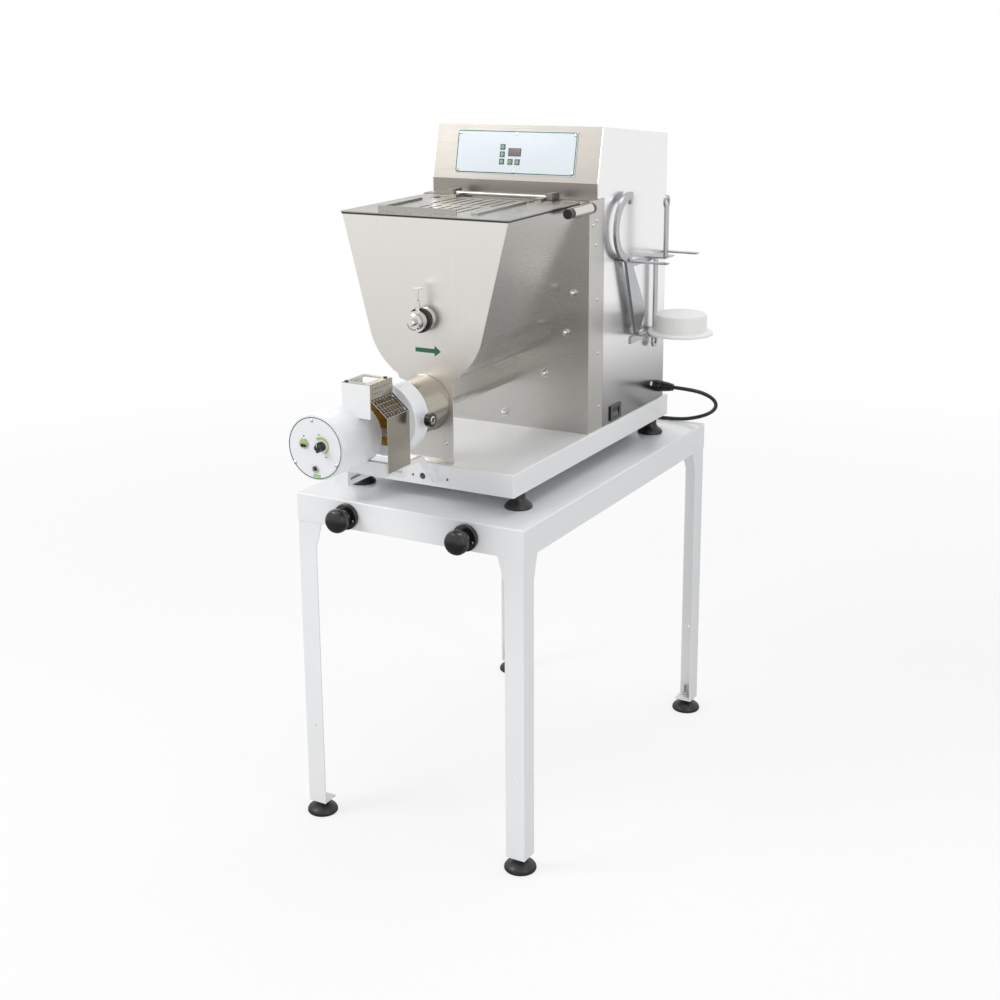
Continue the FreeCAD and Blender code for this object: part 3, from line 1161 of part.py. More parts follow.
# Two flat bars with an eye each, one standing on the rack tab and one hanging from it.
bars = []
for x, y, low, high, eye in (("cab_half + 38", 229, 3, 112, 112), ("cab_half + 8", 250, -174, 0, -174)):
    flat = block("bar_flat", (x, x + " + 4"), (str(y - 8), str(y + 8)),
                 ("rack_z + (%d)" % low, "rack_z + (%d)" % high))
    ring_part = rod("bar_eye", "x", "13", (x, x + " + 4"), str(y), "rack_z + (%d)" % eye)
    ring_hole = rod("bar_eye_hole", "x", "6.5", (x + " - 3", x + " + 9"), str(y), "rack_z + (%d)" % eye)
    bars.append(cut("bar_cut", fuse("bar_whole", [flat, ring_part]), [ring_hole]))
node("dough_bars", group("dough_bars_group", bars))

# White nylon flanged disc on the shelf, and the white plug in the cover.
disc = turned("nylon_turned", [("0", "0"), ("64", "0"), ("65", "2"), ("65", "5"), ("52", "8"), ("52", "38"),
                               ("49", "42"), ("0", "42")])
stand_on(disc, "cab_half + 76", "226", "shelf_z")
node("nylon_parts", group("nylon_group", [disc, plug]))

# Power cord: straight runs joined by tangent arcs, then one closed solid for the coil.
TIP = V(value("cab_half + gland_length"), value("gland_y"), value("gland_z"))
REST = value("stand_height + cord_radius + 0.2")
ROUTE = [(0, 0, 1), (34.2, 0, 0.995), (62.1, 20.3, 0.89), (72.7, 53, 0.67), (62.1, 85.7, 0.41), (34.2, 106, 0.18),
         (-9, 106.8, 0.034), (-45, 107.3, 0), (-82, 106, 0), (-120, 107, 0), (-158, 105.8, 0)]
points = [V(TIP.x + x, TIP.y + y, REST + (TIP.z - REST) * share) for x, y, share in ROUTE]
radius = value("cord_radius")
edges = []
start = points[0]
for number in range(1, len(points) - 1):
    before = points[number] - points[number - 1]
    after = points[number + 1] - points[number]
    turn = before.getAngle(after)
    reach = 0.45 * min(before.Length, after.Length)
    bend = reach / math.tan(turn / 2)
    print("cord radius", number, round(bend, 1))
    first = points[number] - before.normalize() * reach
    last = points[number] + after.normalize() * reach
    middle_way = (first + last) * 0.5
    inward = middle_way - points[number]
    centre = points[number] + inward.normalize() * (bend / math.cos(turn / 2))
    crown = centre + (points[number] - centre).normalize() * bend
    edges.append(Part.LineSegment(start, first).toShape())
    edges.append(Part.Arc(first, crown, last).toShape())
    start = last
edges.append(Part.LineSegment(start, points[-1]).toShape())
spine = Part.Wire(edges)
section = Part.Wire([Part.makeCircle(radius, points[0], points[1] - points[0])])
tube = spine.makePipeShell([section], True, False)
print("cord volume", round(tube.Volume), "section times length", round(math.pi * radius ** 2 * spine.Length))
cord = doc.addObject("Part::Feature", "cord_feature")
cord.Shape = tube
coil = turned("coil_turned", [("coil_inner", "0.2"), ("coil_outer", "0.2"), ("coil_outer", "6 * cord_radius + 0.2"),
                              ("coil_inner", "6 * cord_radius + 0.2")])
stand_on(coil, "40", "gland_y + 58", "stand_height")
tail = rod("cord_tail", "x", "cord_radius", ("-16", "32"), "gland_y + 106", "stand_height + plug_radius + 0.1")
node("power_cord", group("cord_group", [cut("cord_cut", cord, [coil]), cut("tail_cut", tail, [coil])]))
node("cord_coil", coil)
plug_body = turned("mains_turned", [("0", "0"), ("cord_radius + 1", "0"), ("7", "16"), ("plug_radius - 2", "22"),
                                    ("plug_radius", "30"), ("plug_radius", "44"), ("plug_radius - 3", "48"),
                                    ("0", "48")])
stand_on(plug_body, "-16", "gland_y + 106", "stand_height + plug_radius + 0.1", "-x")
pins = [rod("mains_pin", "x", "2.4", ("-83", "-62"), "gland_y + " + across, "stand_height + plug_radius + 0.1")
        for across in ("96.5", "115.5")]
node("mains_plug", fuse("mains_whole", [plug_body] + pins))

doc.recompute()
doc.removeObject("Probe")
for item in doc.Objects:
    if "Invalid" in item.State or "Error" in item.State:
        raise RuntimeError("failed object: " + item.Name)
for part in NODES:
    if part.Shape.isNull() or not part.Shape.isValid() or not part.Shape.Solids:
        raise RuntimeError("bad shape: " + part.Label)
for part in NODES:
    part.Shape.exportStep("parts/%s.step" % part.Label)
print(len(NODES), "pieces written")
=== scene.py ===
# %% [markdown]
# A floor-standing electric pasta maker: a stainless hopper with a mixer, an auger barrel,
# a white cutter drum in front of the die and a control cabinet, on a white stand.
# The solids come in as a fixed frame. This lesson dresses them in real finishes and
# replaces the rounded pieces with finer ones.

# %% Load the frame
from math import atan2, cos, pi, radians, sin
import bmesh
import bpy
from mathutils import Matrix, Vector


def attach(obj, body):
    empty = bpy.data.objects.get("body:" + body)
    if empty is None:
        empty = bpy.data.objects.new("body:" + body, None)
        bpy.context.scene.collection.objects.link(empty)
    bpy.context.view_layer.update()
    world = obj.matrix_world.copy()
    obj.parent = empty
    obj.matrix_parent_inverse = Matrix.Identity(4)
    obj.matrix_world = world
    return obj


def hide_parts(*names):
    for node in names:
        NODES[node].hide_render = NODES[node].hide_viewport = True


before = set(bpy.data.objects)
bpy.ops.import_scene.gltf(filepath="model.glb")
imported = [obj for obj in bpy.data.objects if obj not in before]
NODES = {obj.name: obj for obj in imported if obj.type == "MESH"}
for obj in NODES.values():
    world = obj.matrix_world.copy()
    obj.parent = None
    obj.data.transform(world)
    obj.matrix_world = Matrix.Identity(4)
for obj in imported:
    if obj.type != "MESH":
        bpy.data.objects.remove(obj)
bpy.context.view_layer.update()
MM = 0.001
print("nodes", len(NODES))

# %% [markdown]
# The camera stands to the right of the machine and looks a little down at it. Its place
# was measured from the straight edges of the stand and of the cabinet. The small shift
# puts the machine left of the middle of the frame, as in the photograph.

# %% Camera
YAW, PITCH, ROLL = radians(31.886), radians(-14.522), radians(-1.128)
right = Vector((cos(YAW), sin(YAW), 0))
level = Vector((-sin(YAW), cos(YAW), 0))
look = level * cos(PITCH) + Vector((0, 0, 1)) * sin(PITCH)
above = right.cross(look)
tilted_right = right * cos(ROLL) + above * sin(ROLL)
tilted_up = above * cos(ROLL) - right * sin(ROLL)
camera = bpy.data.objects.new("camera", bpy.data.cameras.new("camera"))
bpy.context.collection.objects.link(camera)
turn = Matrix((tilted_right, tilted_up, -look)).transposed().to_4x4()
camera.matrix_world = Matrix.Translation((1.44768, -2.68411, 1.52621)) @ turn
camera.data.lens = 56.77
camera.data.sensor_width = 36
camera.data.shift_x = 0.0801
camera.data.shift_y = -0.0806
bpy.context.scene.camera = camera
bpy.context.scene.view_settings.view_transform = "Standard"

# %% [markdown]
# One function adds a shader node with its settings and links. A second one turns the hex
# colours, which are sRGB as a screen shows them, into the linear values of the shader.


# %% Helpers for materials
def linear(code):
    """Turn an sRGB hex colour into linear red, green, blue and alpha."""
    parts = [int(code[i:i + 2], 16) / 255 for i in (0, 2, 4)]
    return [p / 12.92 if p <= 0.04045 else ((p + 0.055) / 1.055) ** 2.4 for p in parts] + [1]


def add(material, kind, inputs=(), **settings):
    """Add a node; each input is a value or another node's output."""
    tree = material.node_tree
    made = tree.nodes.new(kind)
    for name, setting in settings.items():
        setattr(made, name, setting)
    for name, source in dict(inputs).items():
        if isinstance(source, bpy.types.NodeSocket):
            tree.links.new(source, made.inputs[name])
        else:
            made.inputs[name].default_value = source
    return made


def new_material(name):
    """A material with an empty tree but its output."""
    material = bpy.data.materials.new(name)
    material.use_nodes = True
    material.node_tree.nodes.clear()
    return material


def close(material, shader):
    """Join the last shader to the surface."""
    add(material, "ShaderNodeOutputMaterial", {"Surface": shader.outputs[0]})
    return material


# %% [markdown]
# Powder-coated white steel: a smooth paint with a faint orange-peel skin. The peel is
# about 1.5 mm across and a few hundredths of a millimetre deep. A slow cloud in the
# roughness keeps large panels from looking like plain white card.


# %% Painted and moulded finishes
def coated(name, code, rough, peel_mm, depth, gloss=0.0, cloud=0.06, second=None):
    """Paint, rubber or plastic: one colour with a fine skin and an uneven sheen."""
    material = new_material(name)
    place = add(material, "ShaderNodeTexCoord")
    fine = add(material, "ShaderNodeTexNoise",
               {"Vector": place.outputs["Object"], "Scale": 1 / (peel_mm * MM), "Detail": 2.0})
    slow = add(material, "ShaderNodeTexNoise",
               {"Vector": place.outputs["Object"], "Scale": 14.0, "Detail": 3.0})
    sheen = add(material, "ShaderNodeMapRange",
                {"Value": slow.outputs["Fac"], "From Min": 0.3, "From Max": 0.7,
                 "To Min": rough - cloud, "To Max": rough + cloud})
    tone = add(material, "ShaderNodeMix",
               {"Factor": slow.outputs["Fac"], "A": linear(code), "B": linear(second or code)},
               data_type="RGBA")
    bump = add(material, "ShaderNodeBump",
               {"Height": fine.outputs["Fac"], "Distance": depth * MM, "Strength": 0.5})
    body = add(material, "ShaderNodeBsdfPrincipled",
               {"Base Color": tone.outputs[2], "Roughness": sheen.outputs[0], "IOR": 1.5,
                "Coat Weight": gloss, "Coat Roughness": 0.08, "Normal": bump.outputs[0]})
    return close(material, body)


white_coat = coated("white_powder_coat", "F1F2F3", 0.34, 1.5, 0.05, 0.25, 0.05, "ECEEF0")
drum_coat = coated("white_drum_enamel", "F0F1F4", 0.26, 1.8, 0.03, 0.5, 0.04, "EBEDF1")
black_rubber = coated("black_moulded_rubber", "121213", 0.42, 0.9, 0.06, 0.1, 0.08, "1C1C1E")
black_plastic = coated("black_moulded_plastic", "0D0D0E", 0.28, 0.7, 0.03, 0.3, 0.06, "161617")
panel_film = coated("pale_printed_film", "E4ECF2", 0.3, 0.8, 0.01, 0.2, 0.04, "DDE7EF")
green_film = coated("dark_green_print", "1F6B45", 0.35, 0.8, 0.01, 0.1, 0.04, "1A5E3C")
green_key = coated("green_key_cap", "245A43", 0.4, 0.6, 0.02, 0.1, 0.05, "1D4C38")
pale_print = coated("pale_key_print", "D7E6DC", 0.4, 0.6, 0.01, 0.0, 0.04)
leaf_print = coated("leaf_green_print", "A9CF7C", 0.4, 0.6, 0.01, 0.0, 0.04, "9CC56C")
red_window = coated("dark_red_window", "4A0E12", 0.12, 0.8, 0.005, 0.6, 0.03, "3A0A0D")
grey_cast = coated("grey_cast_paint", "6B6E70", 0.5, 1.2, 0.1, 0.0, 0.08, "606365")
print("painted finishes made")

# %% [markdown]
# Stainless sheet is brushed along one direction, which draws each highlight into a soft
# band across the grain. Here a noise is stretched along the grain: its scratches are 0.6 mm
# apart, coarser than real ones so that they still show. The colour stays warm grey.


# %% Metal finishes
def steel(name, code, rough, along, streak=0.09, depth=0.012, second=None, fade=None):
    """Brushed metal; along is 0, 1 or 2 for grain along x, y or z; fade darkens the colour below a height as
    painted shade.
    """
    material = new_material(name)
    place = add(material, "ShaderNodeTexCoord")
    scale = [1 / (0.6 * MM)] * 3
    scale[along] = 6.0
    grain_place = add(material, "ShaderNodeMapping",
                      {"Vector": place.outputs["Object"], "Scale": scale})
    grain = add(material, "ShaderNodeTexNoise",
                {"Vector": grain_place.outputs[0], "Scale": 1.0, "Detail": 3.0})
    slow = add(material, "ShaderNodeTexNoise",
               {"Vector": place.outputs["Object"], "Scale": 7.0, "Detail": 2.0})
    both = add(material, "ShaderNodeMath",
               {0: grain.outputs["Fac"], 1: slow.outputs["Fac"]}, operation="ADD")
    rough_map = add(material, "ShaderNodeMapRange",
                    {"Value": both.outputs[0], "From Min": 0.7, "From Max": 1.3,
                     "To Min": rough - streak, "To Max": rough + streak})
    tone = add(material, "ShaderNodeMix",
               {"Factor": grain.outputs["Fac"], "A": linear(code), "B": linear(second or code)},
               data_type="RGBA")
    colour = tone.outputs[2]
    # Painted shade: below the heights in fade the colour is mixed toward black.
    if fade:
        height = add(material, "ShaderNodeSeparateXYZ", {"Vector": place.outputs["Object"]})
        share = add(material, "ShaderNodeMapRange",
                    {"Value": height.outputs["Z"], "From Min": fade[0], "From Max": fade[1],
                     "To Min": fade[2], "To Max": 1.0}, interpolation_type="SMOOTHSTEP")
        painted_shade = add(material, "ShaderNodeMix",
                   {"Factor": share.outputs[0], "A": (0, 0, 0, 1), "B": tone.outputs[2]}, data_type="RGBA")
        colour = painted_shade.outputs[2]
    bump = add(material, "ShaderNodeBump",
               {"Height": grain.outputs["Fac"], "Distance": depth * MM, "Strength": 0.6})
    body = add(material, "ShaderNodeBsdfPrincipled",
               {"Base Color": colour, "Metallic": 1.0, "Roughness": rough_map.outputs[0],
                "Normal": bump.outputs[0]})
    return close(material, body)


front_steel = steel("stainless_fine_brushed_front", "E6E3DE", 0.36, 2, 0.05, 0.008, "DCD9D4")
hopper_steel = steel("stainless_brushed_hopper", "E0DDD8", 0.26, 1, 0.05, 0.008, "D2CFCA")
wall_steel = steel("stainless_brushed_wall", "C6C4C0", 0.30, 0, 0.06, 0.010, "B8B5B1")
# The control head's steel is given a darker colour than the other stainless parts as painted shade.
head_steel = steel("stainless_brushed_head", "9E9A94", 0.36, 0, 0.06, 0.012, "8E8A84")
# Painted reflection: the cover's colour is darkened near the base as painted shade, standing in for
# the dark studio it would reflect there: from 0.70 m up to 0.98 m high its colour rises from 0.3 of full to
# full.
COVER_PAINTED_SHADE = (0.70, 0.98, 0.30)
cover_steel = steel("stainless_polished_cover", "F2F2F2", 0.22, 2, 0.03, 0.004, "E9E9E9",
                    fade=COVER_PAINTED_SHADE)
lid_steel = steel("stainless_brushed_lid", "B5B2AC", 0.27, 1, 0.06, 0.010, "9F9C96")
bright_steel = steel("chrome_plated_turning", "DAD9D6", 0.12, 1, 0.04, 0.004, "CFCECB")
tool_steel = steel("zinc_plated_bar", "BDBEC0", 0.24, 2, 0.06, 0.008, "A4A5A8")
barrel_steel = steel("stainless_turned_barrel", "BBB5AA", 0.24, 1, 0.06, 0.010, "A39C90")
brass = steel("machined_brass", "C9A24D", 0.30, 2, 0.06, 0.012, "A8823A")
dark_grid = coated("blackened_grid", "2B2C33", 0.4, 0.8, 0.03, 0.2, 0.08, "22232A")
print("metal finishes made")

# %% [markdown]
# Nylon lets light a little way in, so the flanged disc looks soft and milky.

# %% Milky nylon
nylon = new_material("milky_turned_nylon")
nylon_place = add(nylon, "ShaderNodeTexCoord")
nylon_noise = add(nylon, "ShaderNodeTexNoise",
                  {"Vector": nylon_place.outputs["Object"], "Scale": 220.0, "Detail": 2.0})
nylon_bump = add(nylon, "ShaderNodeBump",
                 {"Height": nylon_noise.outputs["Fac"], "Distance": 0.02 * MM, "Strength": 0.4})
nylon_tone = add(nylon, "ShaderNodeMix",
                 {"Factor": nylon_noise.outputs["Fac"], "A": linear("F2F2F0"), "B": linear("EAEAE8")},
                 data_type="RGBA")
close(nylon, add(nylon, "ShaderNodeBsdfPrincipled",
                 {"Base Color": nylon_tone.outputs[2], "Roughness": 0.38, "Subsurface Weight": 0.25,
                  "Subsurface Scale": 0.01, "Normal": nylon_bump.outputs[0]}))


# %% [markdown]
# A solid that already has the right form only takes a finish. Each line here pairs one
# finish with the pieces that wear it.


# %% Dress the solids
def dress(material, *names):
    """Give CAD pieces one finish."""
    for name in names:
        NODES[name].data.materials.clear()
        NODES[name].data.materials.append(material)


dress(white_coat, "stand_top", "stand_legs", "base_plate", "cutter_bracket", "cutter_hood")
dress(drum_coat, "cutter_housing", "ring_nut", "cutter_face")
dress(black_rubber, "lid_seal", "boss_seal", "cord_coil", "power_cord")
dress(black_plastic, "main_switch", "sleeve_ends", "speed_knob", "mains_plug", "cable_gland",
      "lever_knobs", "main_rocker", "leg_feet", "machine_feet", "front_bobbins")
dress(front_steel, "hopper_front")
dress(hopper_steel, "hopper_tub")
dress(wall_steel, "front_wall", "rear_cover")
dress(head_steel, "control_head")
dress(cover_steel, "side_cover_right", "side_cover_left")
dress(lid_steel, "lid")
dress(bright_steel, "strip_rivets", "wall_nuts", "panel_screws", "side_sleeve", "bearing_boss",
      "lift_pin", "mixer", "foot_bolts", "cutter_blade", "auger")
dress(tool_steel, "hook_spanner", "dough_bars", "tool_rack")
dress(barrel_steel, "barrel", "cutter_guard")
dress(brass, "die")
dress(panel_film, "control_plate")
dress(green_key, "key_start", "key_mix", "key_extrude", "key_less", "key_more")
dress(red_window, "display_window")
dress(grey_cast, "auger_gear", "idler_gear", "mixer_gear", "gear_box", "motor")
dress(leaf_print, "round_switch")
dress(nylon, "nylon_parts")
print("solids dressed")

# %% [markdown]
# The mains lead leaves its gland at the back of the right side, bends down under its own
# weight and lies on the stand. The rest is put away in a coil of five turns behind the
# machine, with the plug beside it. A NURBS line of these points gives smooth bends.

# %% Power cord
CORD_RADIUS = 0.004
TIP = Vector((0.216, 0.292, 0.761))
REST = 0.6642
ROUTE = [(0, 0, 1), (34.2, 0, 0.995), (62.1, 20.3, 0.89), (72.7, 53, 0.67), (62.1, 85.7, 0.41),
         (34.2, 106, 0.18), (-9, 106.8, 0.034), (-45, 107.3, 0), (-82, 106, 0), (-120, 107, 0)]
cord_points = [Vector((TIP.x + x * MM, TIP.y + y * MM, REST + (TIP.z - REST) * share))
               for x, y, share in ROUTE]
COIL = Vector((0.040, 0.350, 0))
INNER, OUTER, LAYER = 0.0403, 0.0484, 0.0081
TURNS = [(70, OUTER, 0), (390, OUTER, 0), (430, INNER, 0), (730, INNER, 0), (770, INNER, 1),
         (1110, INNER, 1), (1150, OUTER, 1), (1450, OUTER, 1), (1490, OUTER, 2), (1860, OUTER, 2)]
angle = 82
while angle <= 1860:
    for (a, r0, l0), (b, r1, l1) in zip(TURNS, TURNS[1:]):
        if a <= angle <= b:
            part = (angle - a) / (b - a)
            reach = (r0 + (r1 - r0) * part) / cos(radians(5))
            high = REST + LAYER * (l0 + (l1 - l0) * part)
            break
    spot = COIL + Vector((reach * cos(radians(angle)), reach * sin(radians(angle)), high))
    cord_points.append(spot)
    angle += 20
for x, y, z in ((40, 398.6, 680.6), (20, 399.6, 680), (2, 399, 677.4), (-16, 398, 674.6)):
    cord_points.append(Vector((x, y, z)) * MM)
curve = bpy.data.curves.new("power_cord_line", "CURVE")
curve.dimensions = "3D"
line = curve.splines.new("NURBS")
line.points.add(len(cord_points) - 1)
for point, spot in zip(line.points, cord_points):
    point.co = (*spot, 1)
line.order_u = 3
line.use_endpoint_u = True
line.resolution_u = 6
curve.bevel_depth = CORD_RADIUS
curve.bevel_resolution = 5
curve.use_fill_caps = True
cord = bpy.data.objects.new("power_lead", curve)
bpy.context.collection.objects.link(cord)
curve.materials.append(black_rubber)
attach(cord, "machine")
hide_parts("power_cord", "cord_coil")

# %% [markdown]
# Round pieces such as feet, knobs and the ring nut are turned. A profile of a few points
# is spun about its axis with bmesh, then a bevel rounds the corners as a lathe tool or a
# mould would. `AXES` turns the spin axis from upright to the piece's own direction.

# %% Helpers for pieces
AXES = {"z": Matrix.Identity(4),
        "x": Matrix.Rotation(pi / 2, 4, "Y"), "-x": Matrix.Rotation(-pi / 2, 4, "Y"),
        "y": Matrix.Rotation(-pi / 2, 4, "X"), "-y": Matrix.Rotation(pi / 2, 4, "X")}


def make(name, shape, material, body, stands_for=(), round_mm=0.0, segments=3, smooth=40):
    """Turn a bmesh into a finished piece that rides on a body."""
    bmesh.ops.remove_doubles(shape, verts=shape.verts, dist=1e-6)
    bmesh.ops.recalc_face_normals(shape, faces=shape.faces)
    mesh = bpy.data.meshes.new(name)
    shape.to_mesh(mesh)
    shape.free()
    mesh.shade_smooth()
    mesh.set_sharp_from_angle(angle=radians(smooth))
    mesh.materials.append(material)
    piece = bpy.data.objects.new(name, mesh)
    bpy.context.collection.objects.link(piece)
    if round_mm:
        bevel = piece.modifiers.new("rounded", "BEVEL")
        bevel.width = round_mm * MM
        bevel.segments = segments
        bevel.limit_method = "ANGLE"
        bevel.angle_limit = radians(28)
        bevel.harden_normals = True
    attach(piece, body)
    if stands_for:
        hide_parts(*stands_for)
    return piece


def turn_profile(shape, profile, place, axis="z", steps=64):
    """Spin a profile of (radius, height) in millimetres about an axis through a place."""
    made = bmesh.new()
    verts = [made.verts.new((r * MM, 0, h * MM)) for r, h in profile]
    edges = [made.edges.new(pair) for pair in zip(verts, verts[1:])]
    bmesh.ops.spin(made, geom=verts + edges, cent=(0, 0, 0), axis=(0, 0, 1), angle=2 * pi,
                   steps=steps, use_merge=True)
    bmesh.ops.remove_doubles(made, verts=made.verts, dist=1e-6)
    bmesh.ops.transform(made, matrix=Matrix.Translation(Vector(place) * MM) @ AXES[axis], verts=made.verts)
    spare = bpy.data.meshes.new("spare")
    made.to_mesh(spare)
    made.free()
    shape.from_mesh(spare)
    bpy.data.meshes.remove(spare)


# %% [markdown]
# The black bobbins hold the front of the stand. Each is one moulding with a soft-edged
# head, a narrow neck and a disc against the apron.

# %% Bobbins
shape = bmesh.new()
for x in (-126, 126):
    turn_profile(shape, [(0, 0), (24.5, 0), (24.5, 9), (13, 11), (11, 14), (11, 21), (14, 24),
                         (21, 26), (22.5, 31), (22.3, 38), (20, 43.5), (14, 46.8), (6, 47.8),
                         (0, 48)], (x, -413, 631), "-y", 72)
make("bobbin_pair", shape, black_plastic, "machine", ["front_bobbins"], 1.4)

# %% [markdown]
# Both kinds of foot are moulded domes. The stand's feet are low and wide and the machine's
# feet flare out from a stem like a plunger.

# %% Feet
shape = bmesh.new()
for x in (-220.5, 220.5):
    for y in (-393.5, 393.5):
        turn_profile(shape, [(0, 0), (28, 0), (30, 3), (29.4, 7), (27, 11), (22, 15), (15, 18.4),
                             (11.5, 20.5), (10.5, 24), (10, 27), (0, 27)], (x, y, 0), "z", 72)
make("levelling_feet", shape, black_rubber, "machine", ["leg_feet"], 0.8)
shape = bmesh.new()
for x in (-168, 168):
    for y in (-298, 287):
        turn_profile(shape, [(0, 0), (25, 0), (26, 2.4), (25, 5), (21.5, 9), (16.5, 13),
                             (13.6, 17), (13, 20), (13, 31), (0, 31)], (x, y, 660), "z", 64)
make("plunger_feet", shape, black_rubber, "machine", ["machine_feet"], 0.6)

# %% [markdown]
# The ring nut is painted white and has two black grips, each with a bright ring at its end.

# %% Ring nut and grips
shape = bmesh.new()
turn_profile(shape, [(56.1, 0), (66, 0), (66, 43), (46, 43), (46, 39), (50.4, 39), (50.4, 29.5),
                     (56.1, 29.5), (56.1, 0)], (0, -433, 844), "-y", 96)
for x, axis in ((62, "x"), (-62, "-x")):
    turn_profile(shape, [(0, 0), (5, 0), (5, 11), (0, 11)], (x, -455, 848), axis, 32)
make("ring_nut_turned", shape, drum_coat, "nut_body", ["ring_nut"], 2.0, 4)
shape = bmesh.new()
for side, axis in ((1, "x"), (-1, "-x")):
    turn_profile(shape, [(0, 0), (8, 0), (13, 4), (13, 13), (11.6, 15), (8.4, 15), (8.4, 13.6), (0, 13.6)],
                 (73 * side, -455, 848), axis, 12)
make("grip_mouldings", shape, black_plastic, "nut_body", ["lever_knobs"], 0.9)
shape = bmesh.new()
for side, axis in ((1, "x"), (-1, "-x")):
    turn_profile(shape, [(4.4, 13), (7.4, 13), (7.4, 14.4), (6.4, 14.9), (4.4, 14.9), (4.4, 13)],
                 (73 * side, -455, 848), axis, 40)
make("grip_discs", shape, bright_steel, "nut_body", (), 0.3)

# %% [markdown]
# The flanged disc stands upside down on the shelf. Nylon machines with soft corners.

# %% Nylon disc
shape = bmesh.new()
turn_profile(shape, [(0, 0), (64, 0), (65, 1.4), (65, 4.6), (62, 6.6), (53, 7.6), (52, 10), (52, 36),
                     (50.4, 40.4), (46, 42), (0, 42)], (256, 226, 890), "z", 96)
turn_profile(shape, [(0, -3), (3.4, -3), (3.4, 0), (5, 0.2), (4.4, 1.2), (0, 1.6)], (180, 260, 772), "x", 32)
make("nylon_disc_and_button", shape, nylon, "machine", ["nylon_parts"], 0.8)

# %% [markdown]
# Cable gland: a ribbed tapering sleeve that spreads the bend of the lead.

# %% Gland
shape = bmesh.new()
ribs = [(0, -6), (7.9, -6), (7.9, 0), (12, 0), (12, 8), (10.6, 9.2)]
for number in range(6):
    start = 9.6 + number * 3.4
    reach = 11.2 - number * 0.45
    ribs += [(reach, start), (reach, start + 2.2), (reach - 1.5, start + 2.5), (reach - 1.5, start + 3.1)]
ribs += [(8, 31), (7.6, 35.6), (4.2, 36), (0, 36)]
turn_profile(shape, ribs, (180, 292, 761), "x", 48)
make("gland_sleeve", shape, black_plastic, "machine", ["cable_gland"], 0.3, 2)

# %% [markdown]
# Printed marks are thin pieces a few tenths of a millimetre proud. On the sloping control
# plate a matrix carries them: across, up the slope and outward.

# %% Printed marks
SLOPE = atan2(22.3, 103.3)
FASCIA = Matrix.Translation((0, -0.0026, 1.208)) @ Matrix.Rotation(pi / 2 - SLOPE, 4, "X")
DIAL = Matrix.Translation((-0.044, -0.620, 0.822)) @ Matrix.Rotation(pi / 2, 4, "X")
FRONT = Matrix.Translation((0, -0.335, 0.939)) @ Matrix.Rotation(pi / 2, 4, "X")


def rounded_plate(shape, centre, width, height, corner, low, high):
    """Thin plate with round corners, in millimetres, in its own plane."""
    made = bmesh.ops.create_grid(shape, x_segments=1, y_segments=1, size=0.5)["verts"]
    bmesh.ops.scale(shape, vec=(width * MM, height * MM, 1), verts=made)
    bmesh.ops.translate(shape, vec=(centre[0] * MM, centre[1] * MM, low * MM), verts=made)
    if corner:
        cut = bmesh.ops.bevel(shape, geom=made, offset=corner * MM, segments=6, profile=0.5,
                              affect="VERTICES", material=-1)
        faces = [f for f in shape.faces if f.is_valid and set(f.verts) & set(cut["verts"])]
    else:
        faces = list({f for v in made for f in v.link_faces})
    return raise_faces(shape, faces, high - low)


def raise_faces(shape, faces, height):
    """Give flat faces a thickness and return the top faces."""
    made = bmesh.ops.extrude_face_region(shape, geom=faces, use_keep_orig=True)["geom"]
    bmesh.ops.translate(shape, vec=(0, 0, height * MM),
                        verts=[v for v in made if isinstance(v, bmesh.types.BMVert)])
    return [f for f in made if isinstance(f, bmesh.types.BMFace)]


def flat_ring(shape, centre, inner, outer, low, high, start=0, end=360, steps=72):
    """Flat ring or arc with a thickness, in millimetres."""
    whole = end - start >= 360
    verts = [shape.verts.new(((centre[0] + r * cos(radians(start))) * MM,
                              (centre[1] + r * sin(radians(start))) * MM, low * MM)) for r in (inner, outer)]
    edge = shape.edges.new(verts)
    made = bmesh.ops.spin(shape, geom=verts + [edge], cent=(centre[0] * MM, centre[1] * MM, low * MM),
                          axis=(0, 0, 1), angle=radians(end - start), steps=steps, use_merge=whole)
    middle = Vector((centre[0], centre[1], low)) * MM
    faces = [f for f in shape.faces if abs(f.calc_center_median().z - low * MM) < 1e-7
             and inner * MM * 0.98 <= (f.calc_center_median() - middle).length <= outer * MM * 1.02]
    return raise_faces(shape, faces, high - low)


# %% Border, key symbols and display frame of the control plate
shape = bmesh.new()
for x, y, w, h in ((0, 13.2, 249, 1.8), (0, 92.8, 249, 1.8), (-127.8, 53, 1.8, 73), (127.8, 53, 1.8, 73)):
    rounded_plate(shape, (x, y), w, h, 0, 1.0, 1.35)
for x, y, turn_from in ((-124.5, 89.5, 90), (124.5, 89.5, 0), (-124.5, 16.5, 180), (124.5, 16.5, 270)):
    flat_ring(shape, (x, y), 2.4, 4.2, 1.0, 1.35, turn_from, turn_from + 90, 10)
bmesh.ops.transform(shape, matrix=FASCIA, verts=shape.verts)
make("plate_border_print", shape, green_film, "machine")
KEYS = {"key_start": (-27.8, 63), "key_mix": (-27.8, 49), "key_extrude": (-27.8, 35), "key_less": (-9.3, 35),
        "key_more": (5.9, 35)}
for name, (x, y) in KEYS.items():
    shape = bmesh.new()
    flat_ring(shape, (x, y), 2.2, 3.1, 1.9, 2.3, 0, 360, 32)
    if name != "key_less":
        rounded_plate(shape, (x, y), 0.8, 3.4, 0, 1.9, 2.3)
    bmesh.ops.transform(shape, matrix=FASCIA, verts=shape.verts)
    make(name + "_symbol", shape, pale_print, name + "_body")
shape = bmesh.new()
for x, y, w, h in ((-1.2, 60.6, 27, 1.2), (-1.2, 46.4, 27, 1.2),
                   (-14.3, 53.5, 1.2, 15.4), (11.9, 53.5, 1.2, 15.4)):
    rounded_plate(shape, (x, y), w, h, 0, 1.0, 1.7)
bmesh.ops.transform(shape, matrix=FASCIA, verts=shape.verts)
make("display_frame", shape, black_plastic, "machine")

# %% [markdown]
# The cutter's face has a dark green ring at its edge, a light green scale round the speed
# knob, a bright frame round the push switch and a bright socket below.

